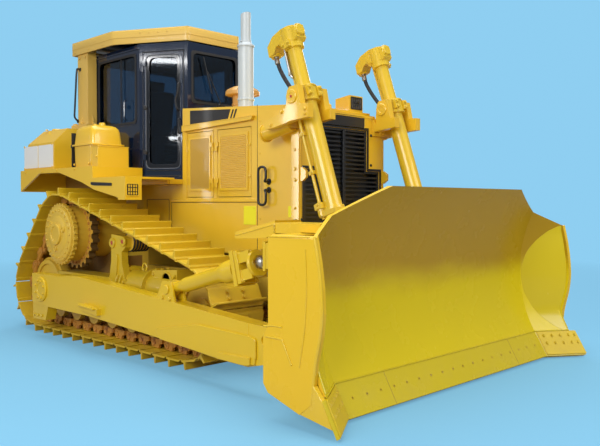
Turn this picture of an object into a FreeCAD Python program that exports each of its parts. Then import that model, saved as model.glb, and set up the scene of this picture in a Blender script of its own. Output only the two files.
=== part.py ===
"""Crawler bulldozer with an elevated drive sprocket, a closed cab and a semi-U blade.

Lengths are millimetres. X points forward, Y to the machine's left, Z up, and the ground is Z = 0.
Places along X are first counted from the middle of the track's ground contact. The finished
pieces are then moved so that X = 0 is the middle of the machine's overall length.
"""

import FreeCAD, Part

import math
import os

V = FreeCAD.Vector
RIGHT, LEFT = -1, 1
SIDES = (("right", RIGHT), ("left", LEFT))

# Tracks
GAUGE = 1980.0
SHOE_WIDTH = 560.0
LINK_PITCH = 216.0
GROUND_LENGTH = 2890.0
IDLER_PITCH_R = 361.0
SPROCKET_PITCH_R = 386.0
SPROCKET_X = -868.0
SPROCKET_Z = 1110.0
PLATE_OUT = 65.0
PLATE_T = 20.0
GROUSER_H = 65.0
GROUSER_T = 26.0
GROUSER_AT = 34.0
RAIL_IN = 45.0
RAIL_T = 55.0
RAIL_GAP = 110.0
ROLLER_R = 105.0
ROLLER_COUNT = 7
ROLLER_SET_IN = 355.0
SPROCKET_TEETH = 24
SPROCKET_TOOTH_H = 36.0
SPROCKET_T = 84.0

# Frame and case
CASE_REAR = -1500.0
CASE_FRONT = -350.0
CASE_HALF = 430.0
CASE_BOTTOM = 460.0
CASE_TOP = 1500.0
RAIL_TOP = 760.0
RAIL_DEPTH = 200.0
RAIL_BEAM_T = 120.0
BELLY_T = 20.0
DRAWBAR_REAR = -1998.0
PAD_T = 30.0
PAD_Y = (260.0, 420.0)
PAD_Z = (720.0, 1180.0)

# Hood, guard and doors
HOOD_HALF = 480.0
HOOD_REAR = 370.0
HOOD_SEAM_BEHIND = 636.0
HOOD_TOP_REAR = 2420.0
HOOD_TOP_FRONT = 2303.0
HOOD_SILL = 1475.0
PANEL_T = 20.0
GUARD_FRONT = 2160.0
GUARD_DEPTH = 90.0
GUARD_HALF = 580.0
GUARD_TOP_HALF = 440.0
GUARD_TOP = 2265.0
GUARD_SHOULDER = 2060.0
GUARD_WALL = 30.0
GRILLE_HALF = 510.0
GRILLE_TOP_HALF = 325.0
GRILLE_BOTTOM = 840.0
GRILLE_STEP = 1740.0
GRILLE_TOP = 2120.0

# Cab and roof
CAB_FRONT = 300.0
CAB_FRONT_HALF = 365.0
CAB_PILLAR = -193.0
CAB_HALF = 634.0
CAB_REAR = -1100.0
CAB_FLOOR = 1690.0
CAB_WALL = 50.0
ROOF_TOP = 3307.0
ROOF_DEPTH = 147.0
ROOF_CLEAR = 20.0
ROOF_REAR = -1375.0
ROOF_CORNER = -491.0
ROOF_FRONT = 285.0
ROOF_HALF = 779.0
ROOF_FRONT_HALF = 352.0

# Roof posts
POST_REAR = -1290.0
POST_FRONT = -1065.0
POST_IN = 645.0
POST_OUT = 757.0
POST_FOOT = 2300.0

# Fenders and tanks
FENDER_HALF = 1230.0
FENDER_IN = 660.0
FENDER_TOP = 1820.0
FENDER_STEP = 1700.0
FENDER_T = 20.0
FENDER_INNER_H = 60.0
TANK_HALF = 1170.0
TANK_TOP = 2285.0
SIDE_TANK_W = 370.0
SIDE_TANK_L = 515.0
SIDE_TANK_CLEAR = 166.0
SIDE_TANK_H = 445.0

# Blade and its linkage
PIVOT_X = -850.0
PIVOT_Z = 530.0
PIVOT_R = 95.0
PIVOT_DEPTH = 100.0
EDGE_X = 3438.0
EDGE_Z = 25.0
EDGE_SET_BACK = 122.0
EDGE_TOP_Z = 237.0
BLADE_TOP_SET_BACK = 13.0
BLADE_TOP_Z = 1561.0
BLADE_TOP_HALF = 921.0
FOLD_HALF = 1400.0
WING_END = 1690.0
END_PLATE_T = 45.0
WING_RAKE = 34.0
WING_TOP_Z = 1235.0
BLADE_DEPTH = 448.0
BLADE_UPPER_DEPTH = 398.0
EDGE_T = 35.0
SKIN_T = 30.0
GUARD_IN = 1190.0
GUARD_W = 250.0
ARM_OUT = 1440.0
ARM_IN = 1300.0
LIFT_Y = 590.0
TRUNNION_AHEAD = 108.0
TRUNNION_Z = 2318.0
ROD_EYE_BEHIND = 96.0
ROD_EYE_Z = 450.0
ROD_EYE_R = 74.0
ROD_EYE_BORE_R = 54.0
ROD_PIN_R = 30.0
BARREL_R = 75.0
BARREL_TOP_R = 63.0
ROD_R = 42.0

IDLER_X = GROUND_LENGTH / 2
ROLLER_SPAN = GROUND_LENGTH - 2 * ROLLER_SET_IN
IDLER_Z = IDLER_PITCH_R + PLATE_OUT + GROUSER_H
TRACK_Y = GAUGE / 2
EDGE_TOP_X = EDGE_X - EDGE_SET_BACK
BLADE_TOP_X = EDGE_X - BLADE_TOP_SET_BACK
BLADE_BACK = EDGE_X - BLADE_DEPTH
BLADE_UPPER_BACK = EDGE_X - BLADE_UPPER_DEPTH
TRUNNION_X = GUARD_FRONT + TRUNNION_AHEAD
ROD_EYE_X = BLADE_BACK - ROD_EYE_BEHIND
BIT_TIP_X = EDGE_X + (WING_END + END_PLATE_T - FOLD_HALF) * math.tan(math.radians(WING_RAKE))
SHIFT_X = -(BIT_TIP_X + DRAWBAR_REAR) / 2

nodes = {}


def keep(name, *pieces):
    """Store a sub-part: its pieces are joined where they touch."""
    shape = pieces[0]
    if len(pieces) > 1:
        shape = shape.multiFuse(list(pieces[1:]))
    nodes[name] = shape


def box(x, y, z):
    """A block between two corners, given as three (low, high) pairs in any order."""
    (x0, x1), (y0, y1), (z0, z1) = sorted(x), sorted(y), sorted(z)
    return Part.makeBox(x1 - x0, y1 - y0, z1 - z0, V(x0, y0, z0))


def slab_y(outline, y0, y1):
    """A flat outline of (x, z) points, as thick as from y0 to y1."""
    points = [V(x, y0, z) for x, z in outline]
    face = Part.Face(Part.makePolygon(points + points[:1]))
    return face.extrude(V(0, y1 - y0, 0))


def slab_x(outline, x0, x1):
    """A flat outline of (y, z) points, as thick as from x0 to x1."""
    points = [V(x0, y, z) for y, z in outline]
    face = Part.Face(Part.makePolygon(points + points[:1]))
    return face.extrude(V(x1 - x0, 0, 0))


def slab_z(outline, z0, z1):
    """A flat outline of (x, y) points, as thick as from z0 to z1."""
    points = [V(x, y, z0) for x, y in outline]
    face = Part.Face(Part.makePolygon(points + points[:1]))
    return face.extrude(V(0, 0, z1 - z0))


def rod(start, end, radius):
    """A round bar between two points."""
    line = end - start
    return Part.makeCylinder(radius, line.Length, start, line)


def tube(points, radius):
    """A round tube along straight runs that are joined by tangent arcs."""
    edges = []
    start = points[0]
    for before, corner, after in zip(points, points[1:], points[2:]):
        back, ahead = before - corner, after - corner
        reach = 0.45 * min(back.Length, ahead.Length)
        back.normalize()
        ahead.normalize()
        turn = math.pi - back.getAngle(ahead)
        bend = reach / math.tan(turn / 2)
        middle = (back + ahead).normalize() * (bend / math.cos(turn / 2) - bend)
        arc_start, arc_end = corner + back * reach, corner + ahead * reach
        edges.append(Part.makeLine(start, arc_start))
        edges.append(Part.Arc(arc_start, corner + middle, arc_end).toShape())
        start = arc_end
    edges.append(Part.makeLine(start, points[-1]))
    ring = Part.Wire([Part.makeCircle(radius, points[0], points[1] - points[0])])
    return Part.Wire(edges).makePipeShell([ring], True, False)


def across(x, z, y0, y1, radius):
    """A round bar along Y."""
    return rod(V(x, y0, z), V(x, y1, z), radius)


def mirror(shape):
    """The same shape on the machine's other side."""
    return shape.mirror(V(0, 0, 0), V(0, 1, 0))


def on_side(side, shape):
    """A shape drawn on the left, put on the side that is asked for."""
    return shape if side == LEFT else mirror(shape)


def whole_plan(outline):
    """An (x, y) outline of the left half, closed by its mirror image across Y = 0."""
    return outline + [(x, -y) for x, y in reversed(outline)]


def whole_front(outline):
    """A (y, z) outline of the left half, closed by its mirror image across Y = 0."""
    return outline + [(-y, z) for y, z in reversed(outline)]


# Track loop

def belt(circles):
    """Arcs and straights of a belt round circles of (x, z, radius), counter-clockwise from -Y."""
    normals = []
    count = len(circles)
    for i, (x0, z0, r0) in enumerate(circles):
        x1, z1, r1 = circles[(i + 1) % count]
        heading = math.atan2(z1 - z0, x1 - x0)
        normals.append(heading - math.acos((r0 - r1) / math.hypot(x1 - x0, z1 - z0)))
    stretches = []
    for i, (x, z, r) in enumerate(circles):
        start, end = normals[i - 1], normals[i]
        while end < start:
            end += 2 * math.pi
        stretches.append(("arc", (x, z, r, start), r * (end - start)))
        x1, z1, r1 = circles[(i + 1) % count]
        from_point = (x + r * math.cos(end), z + r * math.sin(end))
        to_point = (x1 + r1 * math.cos(end), z1 + r1 * math.sin(end))
        stretches.append(("line", (from_point, to_point), math.dist(from_point, to_point)))
    return stretches


def along(stretches, distance):
    """The point that lies a distance along a belt."""
    for kind, data, length in stretches:
        if distance <= length:
            break
        distance -= length
    if kind == "arc":
        x, z, r, start = data
        angle = start + distance / r
        return (x + r * math.cos(angle), z + r * math.sin(angle))
    (x0, z0), (x1, z1) = data
    share = distance / length
    return (x0 + (x1 - x0) * share, z0 + (z1 - z0) * share)


def track_pins():
    """The chain's pins, evenly spaced round both idlers and the sprocket."""
    circles = [
        (-IDLER_X, IDLER_Z, IDLER_PITCH_R),
        (IDLER_X, IDLER_Z, IDLER_PITCH_R),
        (SPROCKET_X, SPROCKET_Z, SPROCKET_PITCH_R),
    ]
    stretches = belt(circles)
    total = sum(length for kind, data, length in stretches)
    count = round(total / LINK_PITCH)
    return [along(stretches, total * i / count) for i in range(count)]


def link_points(pins, profile):
    """Each link's (distance along, distance out) points, placed between its two pins."""
    points = []
    for i, (x0, z0) in enumerate(pins):
        x1, z1 = pins[(i + 1) % len(pins)]
        length = math.dist((x0, z0), (x1, z1))
        ux, uz = (x1 - x0) / length, (z1 - z0) / length
        for u, v in profile(length):
            points.append((x0 + ux * u + uz * v, z0 + uz * u - ux * v))
    return points


def shoe_outside(length):
    """Outer edge of one shoe, seen from the side: its plate and its grouser."""
    tip = PLATE_OUT + GROUSER_H
    notch = 5.0
    return [
        (notch, PLATE_OUT),
        (GROUSER_AT, PLATE_OUT),
        (GROUSER_AT + 4, tip),
        (GROUSER_AT + GROUSER_T - 4, tip),
        (GROUSER_AT + GROUSER_T, PLATE_OUT),
        (length - notch, PLATE_OUT),
        (length, PLATE_OUT - PLATE_T * 0.8),
    ]


def shoe_inside(length):
    return [(0, PLATE_OUT - PLATE_T)]


def rail_outside(length):
    return [(0, PLATE_OUT - PLATE_T + 2)]


def rail_inside(length):
    return [(LINK_PITCH * 0.17, -RAIL_IN), (length - LINK_PITCH * 0.17, -RAIL_IN)]


def make_track():
    """One fixed loop: the shoes as one band, with the chain's two rows of links inside it."""
    pins = track_pins()
    y_in = TRACK_Y - SHOE_WIDTH / 2
    y_out = TRACK_Y + SHOE_WIDTH / 2
    shoes = slab_y(link_points(pins, shoe_outside), y_in, y_out)
    shoes = shoes.cut(slab_y(link_points(pins, shoe_inside), y_in, y_out))
    rows = []
    for y in (TRACK_Y - RAIL_GAP / 2 - RAIL_T, TRACK_Y + RAIL_GAP / 2):
        outer = slab_y(link_points(pins, rail_outside), y, y + RAIL_T)
        rows.append(outer.cut(slab_y(link_points(pins, rail_inside), y, y + RAIL_T)))
    return shoes.multiFuse(rows)


def polar_outline(x, z, steps):
    """Points round (x, z) from a list of (turn in radians, radius)."""
    return [(x + r * math.cos(a), z + r * math.sin(a)) for a, r in steps]


def toothed(x, z, root, tip, teeth, y0, y1):
    """A disc with square-cut teeth round its rim."""
    step = 2 * math.pi / teeth
    steps = []
    for i in range(teeth):
        for share, radius in ((0.0, root), (0.16, tip), (0.42, tip), (0.58, root)):
            steps.append((step * (i + share), radius))
    return slab_y(polar_outline(x, z, steps), y0, y1)


CHORD_DROP = math.cos(LINK_PITCH / 2 / IDLER_PITCH_R)
IDLER_R = IDLER_PITCH_R * CHORD_DROP - RAIL_IN - 1.0
FRAME_BOTTOM = 400.0
FRAME_TOP = 690.0
FRAME_HALF = 125.0
BRACKET_IN = 110.0
RAIL_FACE = IDLER_Z - IDLER_PITCH_R + RAIL_IN
ROLLER_Z = RAIL_FACE + ROLLER_R + 0.3
RECOIL_R = 150.0
RECOIL_Z = 630.0
CARRIER_X = 275.0
CARRIER_R = 85.0
PIVOT_SHAFT_X = -400.0
PIVOT_SHAFT_Z = 560.0
PIVOT_SHAFT_R = 90.0
HUB_R = 335.0
DRUM_R = 300.0
HUB_OUT = TRACK_Y + 240.0
AXLE_R = 60.0


def carrier_height():
    """Height of the carrier roller's axle under the sloping upper run of the chain."""
    run = belt([(-IDLER_X, IDLER_Z, IDLER_PITCH_R), (IDLER_X, IDLER_Z, IDLER_PITCH_R),
                (SPROCKET_X, SPROCKET_Z, SPROCKET_PITCH_R)])[3]
    (x0, z0), (x1, z1) = run[1]
    slope = (z1 - z0) / (x1 - x0)
    drop = math.sqrt(1 + slope * slope)
    return z0 + slope * (CARRIER_X - x0) - (RAIL_IN + CARRIER_R + 1.0) * drop


def make_track_frame():
    """Roller frame: a box beam with recoil housing, idler forks, roller brackets and post."""
    y0, y1 = TRACK_Y - FRAME_HALF, TRACK_Y + FRAME_HALF
    fork = IDLER_R + 45
    beam = box((-IDLER_X + fork, IDLER_X - fork), (y0, y1), (FRAME_BOTTOM, FRAME_TOP))
    pieces = [beam]
    for x in (-IDLER_X, IDLER_X):
        inward = -math.copysign(1, x)
        for y in (y0, TRACK_Y + BRACKET_IN - 20):
            cheek_y = (y, y + FRAME_HALF - BRACKET_IN + 20)
            pieces.append(box((x - inward * 120, x + inward * (fork + 40)), cheek_y,
                              (IDLER_Z - 75, IDLER_Z + 75)))
    pieces.append(rod(V(150, TRACK_Y, RECOIL_Z), V(IDLER_X - fork, TRACK_Y, RECOIL_Z), RECOIL_R))
    cover = slab_y([(710, RECOIL_Z), (710, RECOIL_Z + 177), (1110, RECOIL_Z + 208), (1110, RECOIL_Z)],
                   TRACK_Y - 100, TRACK_Y + 100)
    pieces.append(cover.cut(across(950, RECOIL_Z + 105, TRACK_Y + 60, TRACK_Y + 100, 62)))
    half = ROLLER_SPAN / 2 + ROLLER_R
    for y in (y0 - 15, TRACK_Y + BRACKET_IN):
        guard = box((-half, half), (y, y + 30), (ROLLER_Z - 25, FRAME_BOTTOM + 30))
        pieces.append(guard)
    top = carrier_height()
    post = slab_y([(CARRIER_X - 262, 640), (CARRIER_X + 55, 640), (CARRIER_X - 15, 850),
                   (CARRIER_X - 20, 960), (CARRIER_X + 48, top - 48), (CARRIER_X + 48, top + 40),
                   (CARRIER_X - 15, top + 62), (CARRIER_X - 205, top + 78), (CARRIER_X - 212, 860)],
                  TRACK_Y + 75, TRACK_Y + 150)
    pieces.append(post)
    pieces.append(box((CARRIER_X - 262, CARRIER_X + 55), (y1 - 60, TRACK_Y + 150), (560, 700)))
    pieces.append(across(CARRIER_X, top, TRACK_Y - 70, TRACK_Y + 80, 35))
    pieces.append(across(PIVOT_X, PIVOT_Z, y1 - 10, ARM_IN + PIVOT_DEPTH, PIVOT_R))
    pieces.append(across(PIVOT_X, PIVOT_Z, y1 - 10, ARM_IN - 40, PIVOT_R + 45))
    return pieces[0].multiFuse(pieces[1:])


def make_idlers():
    """Front and rear idlers: a flanged wheel on an axle between the fork's cheeks."""
    wheels = []
    for x in (-IDLER_X, IDLER_X):
        tread = across(x, IDLER_Z, TRACK_Y - 85, TRACK_Y + 85, IDLER_R)
        flange = across(x, IDLER_Z, TRACK_Y - 48, TRACK_Y + 48, IDLER_R + 30)
        axle = across(x, IDLER_Z, TRACK_Y - BRACKET_IN + 20, TRACK_Y + BRACKET_IN - 20, AXLE_R)
        dish = across(x, IDLER_Z, TRACK_Y + 60, TRACK_Y + 86, IDLER_R - 45)
        dish = dish.cut(across(x, IDLER_Z, TRACK_Y + 60, TRACK_Y + 86, AXLE_R + 60))
        wheel = tread.fuse(flange).cut(dish).cut(mirror_about_track(dish))
        wheels.append(wheel.fuse(axle))
    return Part.makeCompound(wheels)


def mirror_about_track(shape):
    return shape.mirror(V(0, TRACK_Y, 0), V(0, 1, 0))


def make_rollers():
    """Track rollers, side by side between the roller guards."""
    rollers = []
    step = ROLLER_SPAN / (ROLLER_COUNT - 1)
    for i in range(ROLLER_COUNT):
        x = -ROLLER_SPAN / 2 + step * i
        tread = across(x, ROLLER_Z, TRACK_Y - BRACKET_IN, TRACK_Y + BRACKET_IN, ROLLER_R)
        waist = across(x, ROLLER_Z, TRACK_Y - 50, TRACK_Y + 50, ROLLER_R)
        rollers.append(tread.cut(waist.cut(across(x, ROLLER_Z, TRACK_Y - 50, TRACK_Y + 50,
                                                  ROLLER_R - 25))))
    return Part.makeCompound(rollers + [make_carrier()])


def make_carrier():
    top = carrier_height()
    body = across(CARRIER_X, top, TRACK_Y - 115, TRACK_Y + 74.7, CARRIER_R)
    return body.cut(across(CARRIER_X, top, TRACK_Y - 71, TRACK_Y + 75, 35.3))


def make_sprocket():
    ring = toothed(SPROCKET_X, SPROCKET_Z, SPROCKET_PITCH_R - SPROCKET_TOOTH_H,
                   SPROCKET_PITCH_R - 2, SPROCKET_TEETH,
                   TRACK_Y - SPROCKET_T / 2, TRACK_Y + SPROCKET_T / 2)
    return ring.cut(across(SPROCKET_X, SPROCKET_Z, TRACK_Y - 60, TRACK_Y + 60, 240))


def make_final_drive():
    """Final drive: a case out to the sprocket, then its drum and bolted cover outside it."""
    def stage(y0, y1, r):
        return across(SPROCKET_X, SPROCKET_Z, y0, y1, r)
    inner = SPROCKET_T / 2
    pieces = [
        stage(CASE_HALF, TRACK_Y - inner, 265),
        stage(TRACK_Y - inner, TRACK_Y + inner, 240),
        stage(TRACK_Y + inner, HUB_OUT - 55, DRUM_R),
        toothed(SPROCKET_X, SPROCKET_Z, HUB_R - 14, HUB_R, 34, HUB_OUT - 55, HUB_OUT - 12),
        stage(HUB_OUT - 12, HUB_OUT, HUB_R - 30),
        stage(HUB_OUT, HUB_OUT + 30, 105),
    ]
    return pieces[0].multiFuse(pieces[1:])


for name, side in SIDES:
    keep("track_" + name, on_side(side, make_track()))
    keep("track_frame_" + name, on_side(side, make_track_frame()))
    keep("idlers_" + name, on_side(side, make_idlers()))
    keep("track_rollers_" + name, on_side(side, make_rollers()))
    keep("sprocket_" + name, on_side(side, make_sprocket()))
    keep("final_drive_" + name, on_side(side, make_final_drive()))


# Main frame

EQUALIZER_X = 1000.0


def make_main_frame():
    """Steering and transmission case with two rails that run forward to the radiator guard."""
    case = slab_y([(CASE_REAR, 620), (CASE_REAR, 1250), (CASE_REAR + 250, CASE_TOP),
                   (CASE_FRONT, CASE_TOP), (CASE_FRONT, CASE_BOTTOM), (CASE_REAR + 160, CASE_BOTTOM)],
                  -CASE_HALF, CASE_HALF)
    pieces = [case]
    for side in (RIGHT, LEFT):
        y = sorted((side * (CASE_HALF - RAIL_BEAM_T), side * CASE_HALF))
        pieces.append(box((CASE_FRONT, GUARD_FRONT), y, (RAIL_TOP - RAIL_DEPTH, RAIL_TOP)))
        pad_y = (side * PAD_Y[0], side * PAD_Y[1])
        pieces.append(box((CASE_REAR - PAD_T, CASE_REAR), pad_y, PAD_Z))
    pieces.append(box((GUARD_FRONT - 160, GUARD_FRONT), (-CASE_HALF, CASE_HALF),
                      (RAIL_TOP - RAIL_DEPTH, RAIL_TOP)))
    saddle_y = CASE_HALF - RAIL_BEAM_T
    pieces.append(box((EQUALIZER_X - 60, EQUALIZER_X + 60), (-saddle_y, saddle_y),
                      (RAIL_TOP - RAIL_DEPTH, RAIL_TOP)))
    shaft_end = TRACK_Y - FRAME_HALF
    pieces.append(across(PIVOT_SHAFT_X, PIVOT_SHAFT_Z, -shaft_end, shaft_end, PIVOT_SHAFT_R))
    return pieces[0].multiFuse(pieces[1:])


def make_equalizer():
    """Equalizer bar: it lies under the rails and carries the track frames' front."""
    end = TRACK_Y - FRAME_HALF
    low = RAIL_TOP - RAIL_DEPTH
    outline = [(-end, low - 60), (-end, low - 120), (-200, low - 135), (200, low - 135),
               (end, low - 120), (end, low - 60), (300, low), (-300, low)]
    return slab_x(outline, EQUALIZER_X - 60, EQUALIZER_X + 60)


def make_belly_guard():
    """Bottom guard: the rear plate under the case and the front plate under the engine."""
    low = RAIL_TOP - RAIL_DEPTH
    rear = box((CASE_REAR + 160, CASE_FRONT), (-CASE_HALF, CASE_HALF),
               (CASE_BOTTOM - BELLY_T, CASE_BOTTOM))
    front = slab_y([(EQUALIZER_X + 80, low), (GUARD_FRONT, low), (GUARD_FRONT, low - BELLY_T),
                    (EQUALIZER_X + 80, low - BELLY_T)], -CASE_HALF, CASE_HALF)
    middle = box((CASE_FRONT, EQUALIZER_X - 80), (-CASE_HALF, CASE_HALF), (low - BELLY_T, low))
    step = box((CASE_FRONT, CASE_FRONT + 20), (-CASE_HALF, CASE_HALF), (CASE_BOTTOM - BELLY_T, low))
    middle = middle.fuse(step)
    clear = across(PIVOT_SHAFT_X, PIVOT_SHAFT_Z, -CASE_HALF, CASE_HALF, PIVOT_SHAFT_R)
    return Part.makeCompound([rear.fuse(middle).cut(clear), front])


def make_drawbar():
    """Drawbar: a tow bar on the case's back, with the pin's hole through two cheeks."""
    base = box((CASE_REAR - 120, CASE_REAR), (-220, 220), (620, 980))
    upper = box((DRAWBAR_REAR, CASE_REAR - 100), (-110, 110), (820, 880))
    lower = box((DRAWBAR_REAR, CASE_REAR - 100), (-110, 110), (680, 740))
    hole = rod(V(DRAWBAR_REAR + 90, 0, 600), V(DRAWBAR_REAR + 90, 0, 960), 29)
    return base.multiFuse([upper, lower]).cut(hole)


ENGINE_HALF = 330.0
ENGINE_H = 1090.0


def make_engine():
    """Engine as one plain block at its place on the rails."""
    return box((HOOD_REAR + 80, GUARD_FRONT - 460), (-ENGINE_HALF, ENGINE_HALF),
               (RAIL_TOP, RAIL_TOP + ENGINE_H))


keep("main_frame", make_main_frame())
keep("equalizer_bar", make_equalizer())
keep("belly_guard", make_belly_guard())
keep("drawbar", make_drawbar())
keep("engine_block", make_engine())


# Hood, radiator guard and engine doors

GUARD_REAR = GUARD_FRONT - GUARD_DEPTH
HOOD_SEAM = GUARD_FRONT - HOOD_SEAM_BEHIND
HOOD_SLOPE = (HOOD_TOP_FRONT - HOOD_TOP_REAR) / (GUARD_REAR - HOOD_REAR)
DOOR_REAR = HOOD_REAR + 80.0
DOOR_FRONT = HOOD_SEAM - 84.0
DOOR_POST = DOOR_REAR + 0.463 * (DOOR_FRONT - DOOR_REAR)
DOOR_POST_T = 30.0
DOOR_BOTTOM = HOOD_SILL + 25.0
DOOR_TOP = HOOD_TOP_FRONT - 143.0
DOOR_GAP = 6.0
DRIP_RAIL_OUT = 40.0
DOOR_HINGE_R = 8.0
DOOR_HINGE_OUT = 13.0
DOOR_HINGE_H = 45.0
DOOR_HINGES = (DOOR_BOTTOM + 140.0, DOOR_TOP - 165.0)


def hood_top(x):
    return HOOD_TOP_REAR + HOOD_SLOPE * (x - HOOD_REAR)


def door_edge(front):
    """X of an engine door's hinge line, and which way the door lies from it."""
    if front:
        return DOOR_POST + DOOR_POST_T + DOOR_GAP, 1
    return DOOR_POST - DOOR_POST_T - DOOR_GAP, -1


def engine_hinges(side, front, on_door):
    """Knuckles of an engine door: the lower ones on the post, the upper ones on the door."""
    x, toward = door_edge(front)
    y = side * (HOOD_HALF + DOOR_HINGE_OUT)
    outside = side * (HOOD_HALF + DOOR_HINGE_OUT + DOOR_HINGE_R)
    pieces = []
    for z in DOOR_HINGES:
        if on_door:
            low, high = z + 0.3, z + DOOR_HINGE_H
            pieces.append(box((x, x + toward * 28), (side * HOOD_HALF, outside), (low, high)))
        else:
            low, high = z - DOOR_HINGE_H, z
            wall_edge = x - toward * DOOR_GAP
            pieces.append(box((wall_edge - toward * 22, wall_edge), (side * HOOD_HALF, outside), (low, high)))
            bridge = side * (HOOD_HALF + DOOR_HINGE_OUT - DOOR_HINGE_R)
            pieces.append(box((wall_edge - toward * 5, x), (bridge, outside), (low, high)))
        pieces.append(rod(V(x, y, low), V(x, y, high), DOOR_HINGE_R))
    return pieces


def make_hood():
    """Hood: top, side walls with the door openings, and a back wall in front of the cab."""
    outer = slab_y([(HOOD_REAR, HOOD_SILL), (GUARD_REAR, HOOD_SILL),
                    (GUARD_REAR, hood_top(GUARD_REAR)), (HOOD_REAR, HOOD_TOP_REAR)],
                   -HOOD_HALF, HOOD_HALF)
    inner = slab_y([(HOOD_REAR + PANEL_T, HOOD_SILL), (GUARD_REAR, HOOD_SILL),
                    (GUARD_REAR, hood_top(GUARD_REAR) - PANEL_T),
                    (HOOD_REAR + PANEL_T, HOOD_TOP_REAR - PANEL_T)],
                   -HOOD_HALF + PANEL_T, HOOD_HALF - PANEL_T)
    shell = outer.cut(inner)
    for side in (RIGHT, LEFT):
        wall = (side * (HOOD_HALF - PANEL_T), side * HOOD_HALF)
        for x0, x1 in ((DOOR_REAR, DOOR_POST - DOOR_POST_T), (DOOR_POST + DOOR_POST_T, DOOR_FRONT)):
            shell = shell.cut(box((x0, x1), wall, (DOOR_BOTTOM, DOOR_TOP)))
        lower = box((HOOD_SEAM, GUARD_REAR), wall, (960, HOOD_SILL))
        shell = shell.fuse(lower)
        for front in (False, True):
            shell = shell.multiFuse(engine_hinges(side, front, False))
        rail = [(HOOD_REAR + 35, DOOR_TOP + 15), (HOOD_REAR + 35, DOOR_TOP + 74),
                (HOOD_SEAM - 23, DOOR_TOP + 89), (HOOD_SEAM - 50, DOOR_TOP + 54)]
        rail_y = sorted((side * (HOOD_HALF - 5), side * (HOOD_HALF + DRIP_RAIL_OUT)))
        shell = shell.fuse(slab_y(rail, *rail_y))
    return shell


def make_engine_door(side, front):
    """Side door of the engine bay, with a raised perforated panel."""
    if front:
        x0, x1 = DOOR_POST + DOOR_POST_T + DOOR_GAP, DOOR_FRONT - DOOR_GAP
    else:
        x0, x1 = DOOR_REAR + DOOR_GAP, DOOR_POST - DOOR_POST_T - DOOR_GAP
    wall = (side * (HOOD_HALF - PANEL_T), side * HOOD_HALF)
    door = box((x0, x1), wall, (DOOR_BOTTOM + DOOR_GAP, DOOR_TOP - DOOR_GAP))
    rim = box((x0 + 35, x1 - 35), (side * HOOD_HALF, side * (HOOD_HALF + 8)),
              (DOOR_BOTTOM + 60, DOOR_TOP - 45))
    return door.multiFuse([rim] + engine_hinges(side, front, True))


SKIRT_REAR = 170.0
SKIRT_BOTTOM = 960.0
DECK_T = 50.0


def make_skirts():
    """Side skirts: plates under the hood's sill, and panels beside the case behind them."""
    skirts = []
    for side in (RIGHT, LEFT):
        wall = (side * (HOOD_HALF - PANEL_T), side * HOOD_HALF)
        inside = side * (HOOD_HALF - PANEL_T)
        skirt = box((SKIRT_REAR, HOOD_SEAM), wall, (SKIRT_BOTTOM, HOOD_SILL))
        column = box((SKIRT_REAR, HOOD_REAR - 1), wall, (HOOD_SILL, CAB_FLOOR - DECK_T))
        flange = box((SKIRT_REAR, 1500), (side * (CASE_HALF - 30), inside), (SKIRT_BOTTOM, SKIRT_BOTTOM + 20))
        panel = box((CASE_FRONT - 60, SKIRT_REAR + PANEL_T), (side * CASE_HALF, side * (CASE_HALF + PANEL_T)),
                    (SKIRT_BOTTOM, CASE_TOP))
        return_plate = box((SKIRT_REAR, SKIRT_REAR + PANEL_T), (side * CASE_HALF, inside),
                           (SKIRT_BOTTOM, CASE_TOP))
        skirts.append(skirt.multiFuse([column, flange, panel, return_plate]))
    return skirts


def guard_outline(half, top_half, low, shoulder, top):
    return whole_front([(half, low), (half, shoulder), (top_half, top)])


def make_radiator_guard():
    """Radiator guard: an upright frame on the rails, stepped round the grille."""
    low = RAIL_TOP
    outer = slab_x(guard_outline(GUARD_HALF, GUARD_TOP_HALF, low, GUARD_SHOULDER, GUARD_TOP),
                   GUARD_REAR, GUARD_FRONT)
    inner = slab_x(guard_outline(GUARD_HALF - GUARD_WALL, GUARD_TOP_HALF - GUARD_WALL,
                                 low + GUARD_WALL, GUARD_SHOULDER - 15, GUARD_TOP - GUARD_WALL),
                   GUARD_REAR, GUARD_FRONT - GUARD_WALL)
    shell = outer.cut(inner)
    window = slab_x(grille_outline(0), GUARD_FRONT - GUARD_WALL, GUARD_FRONT)
    shell = shell.cut(window)
    back = slab_x(guard_outline(GUARD_HALF - GUARD_WALL, GUARD_TOP_HALF - GUARD_WALL,
                                low + GUARD_WALL, GUARD_SHOULDER - 15, GUARD_TOP - GUARD_WALL),
                  GUARD_REAR, GUARD_REAR + 8)
    back = back.cut(slab_x(grille_outline(0), GUARD_REAR, GUARD_REAR + 8))
    return shell.fuse(back)


def grille_outline(gap):
    """Stepped outline of the radiator's grille, in the guard's front face."""
    return whole_front([(GRILLE_HALF - gap, GRILLE_BOTTOM + gap), (GRILLE_HALF - gap, GRILLE_STEP - gap),
                       (GRILLE_TOP_HALF - gap, GRILLE_STEP - gap), (GRILLE_TOP_HALF - gap, GRILLE_TOP - gap)])


def make_grille():
    """Grille: a stepped rim with a centre bar and level louvres."""
    rim = slab_x(grille_outline(0.3), GUARD_FRONT - GUARD_WALL, GUARD_FRONT - 6)
    rim = rim.cut(slab_x(grille_outline(22), GUARD_FRONT - GUARD_WALL, GUARD_FRONT - 6))
    bars = [box((GUARD_FRONT - GUARD_WALL, GUARD_FRONT - 8), (-14, 14),
                (GRILLE_BOTTOM + 10, GRILLE_TOP - 10))]
    pitch = 40.0
    z = GRILLE_BOTTOM + pitch
    while z < GRILLE_TOP - 30:
        half = GRILLE_HALF if z < GRILLE_STEP - 30 else GRILLE_TOP_HALF
        bars.append(box((GUARD_FRONT - GUARD_WALL + 4, GUARD_FRONT - 10), (-half + 10, half - 10),
                        (z - 8, z + 8)))
        z += pitch
    return rim.multiFuse(bars)


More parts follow.
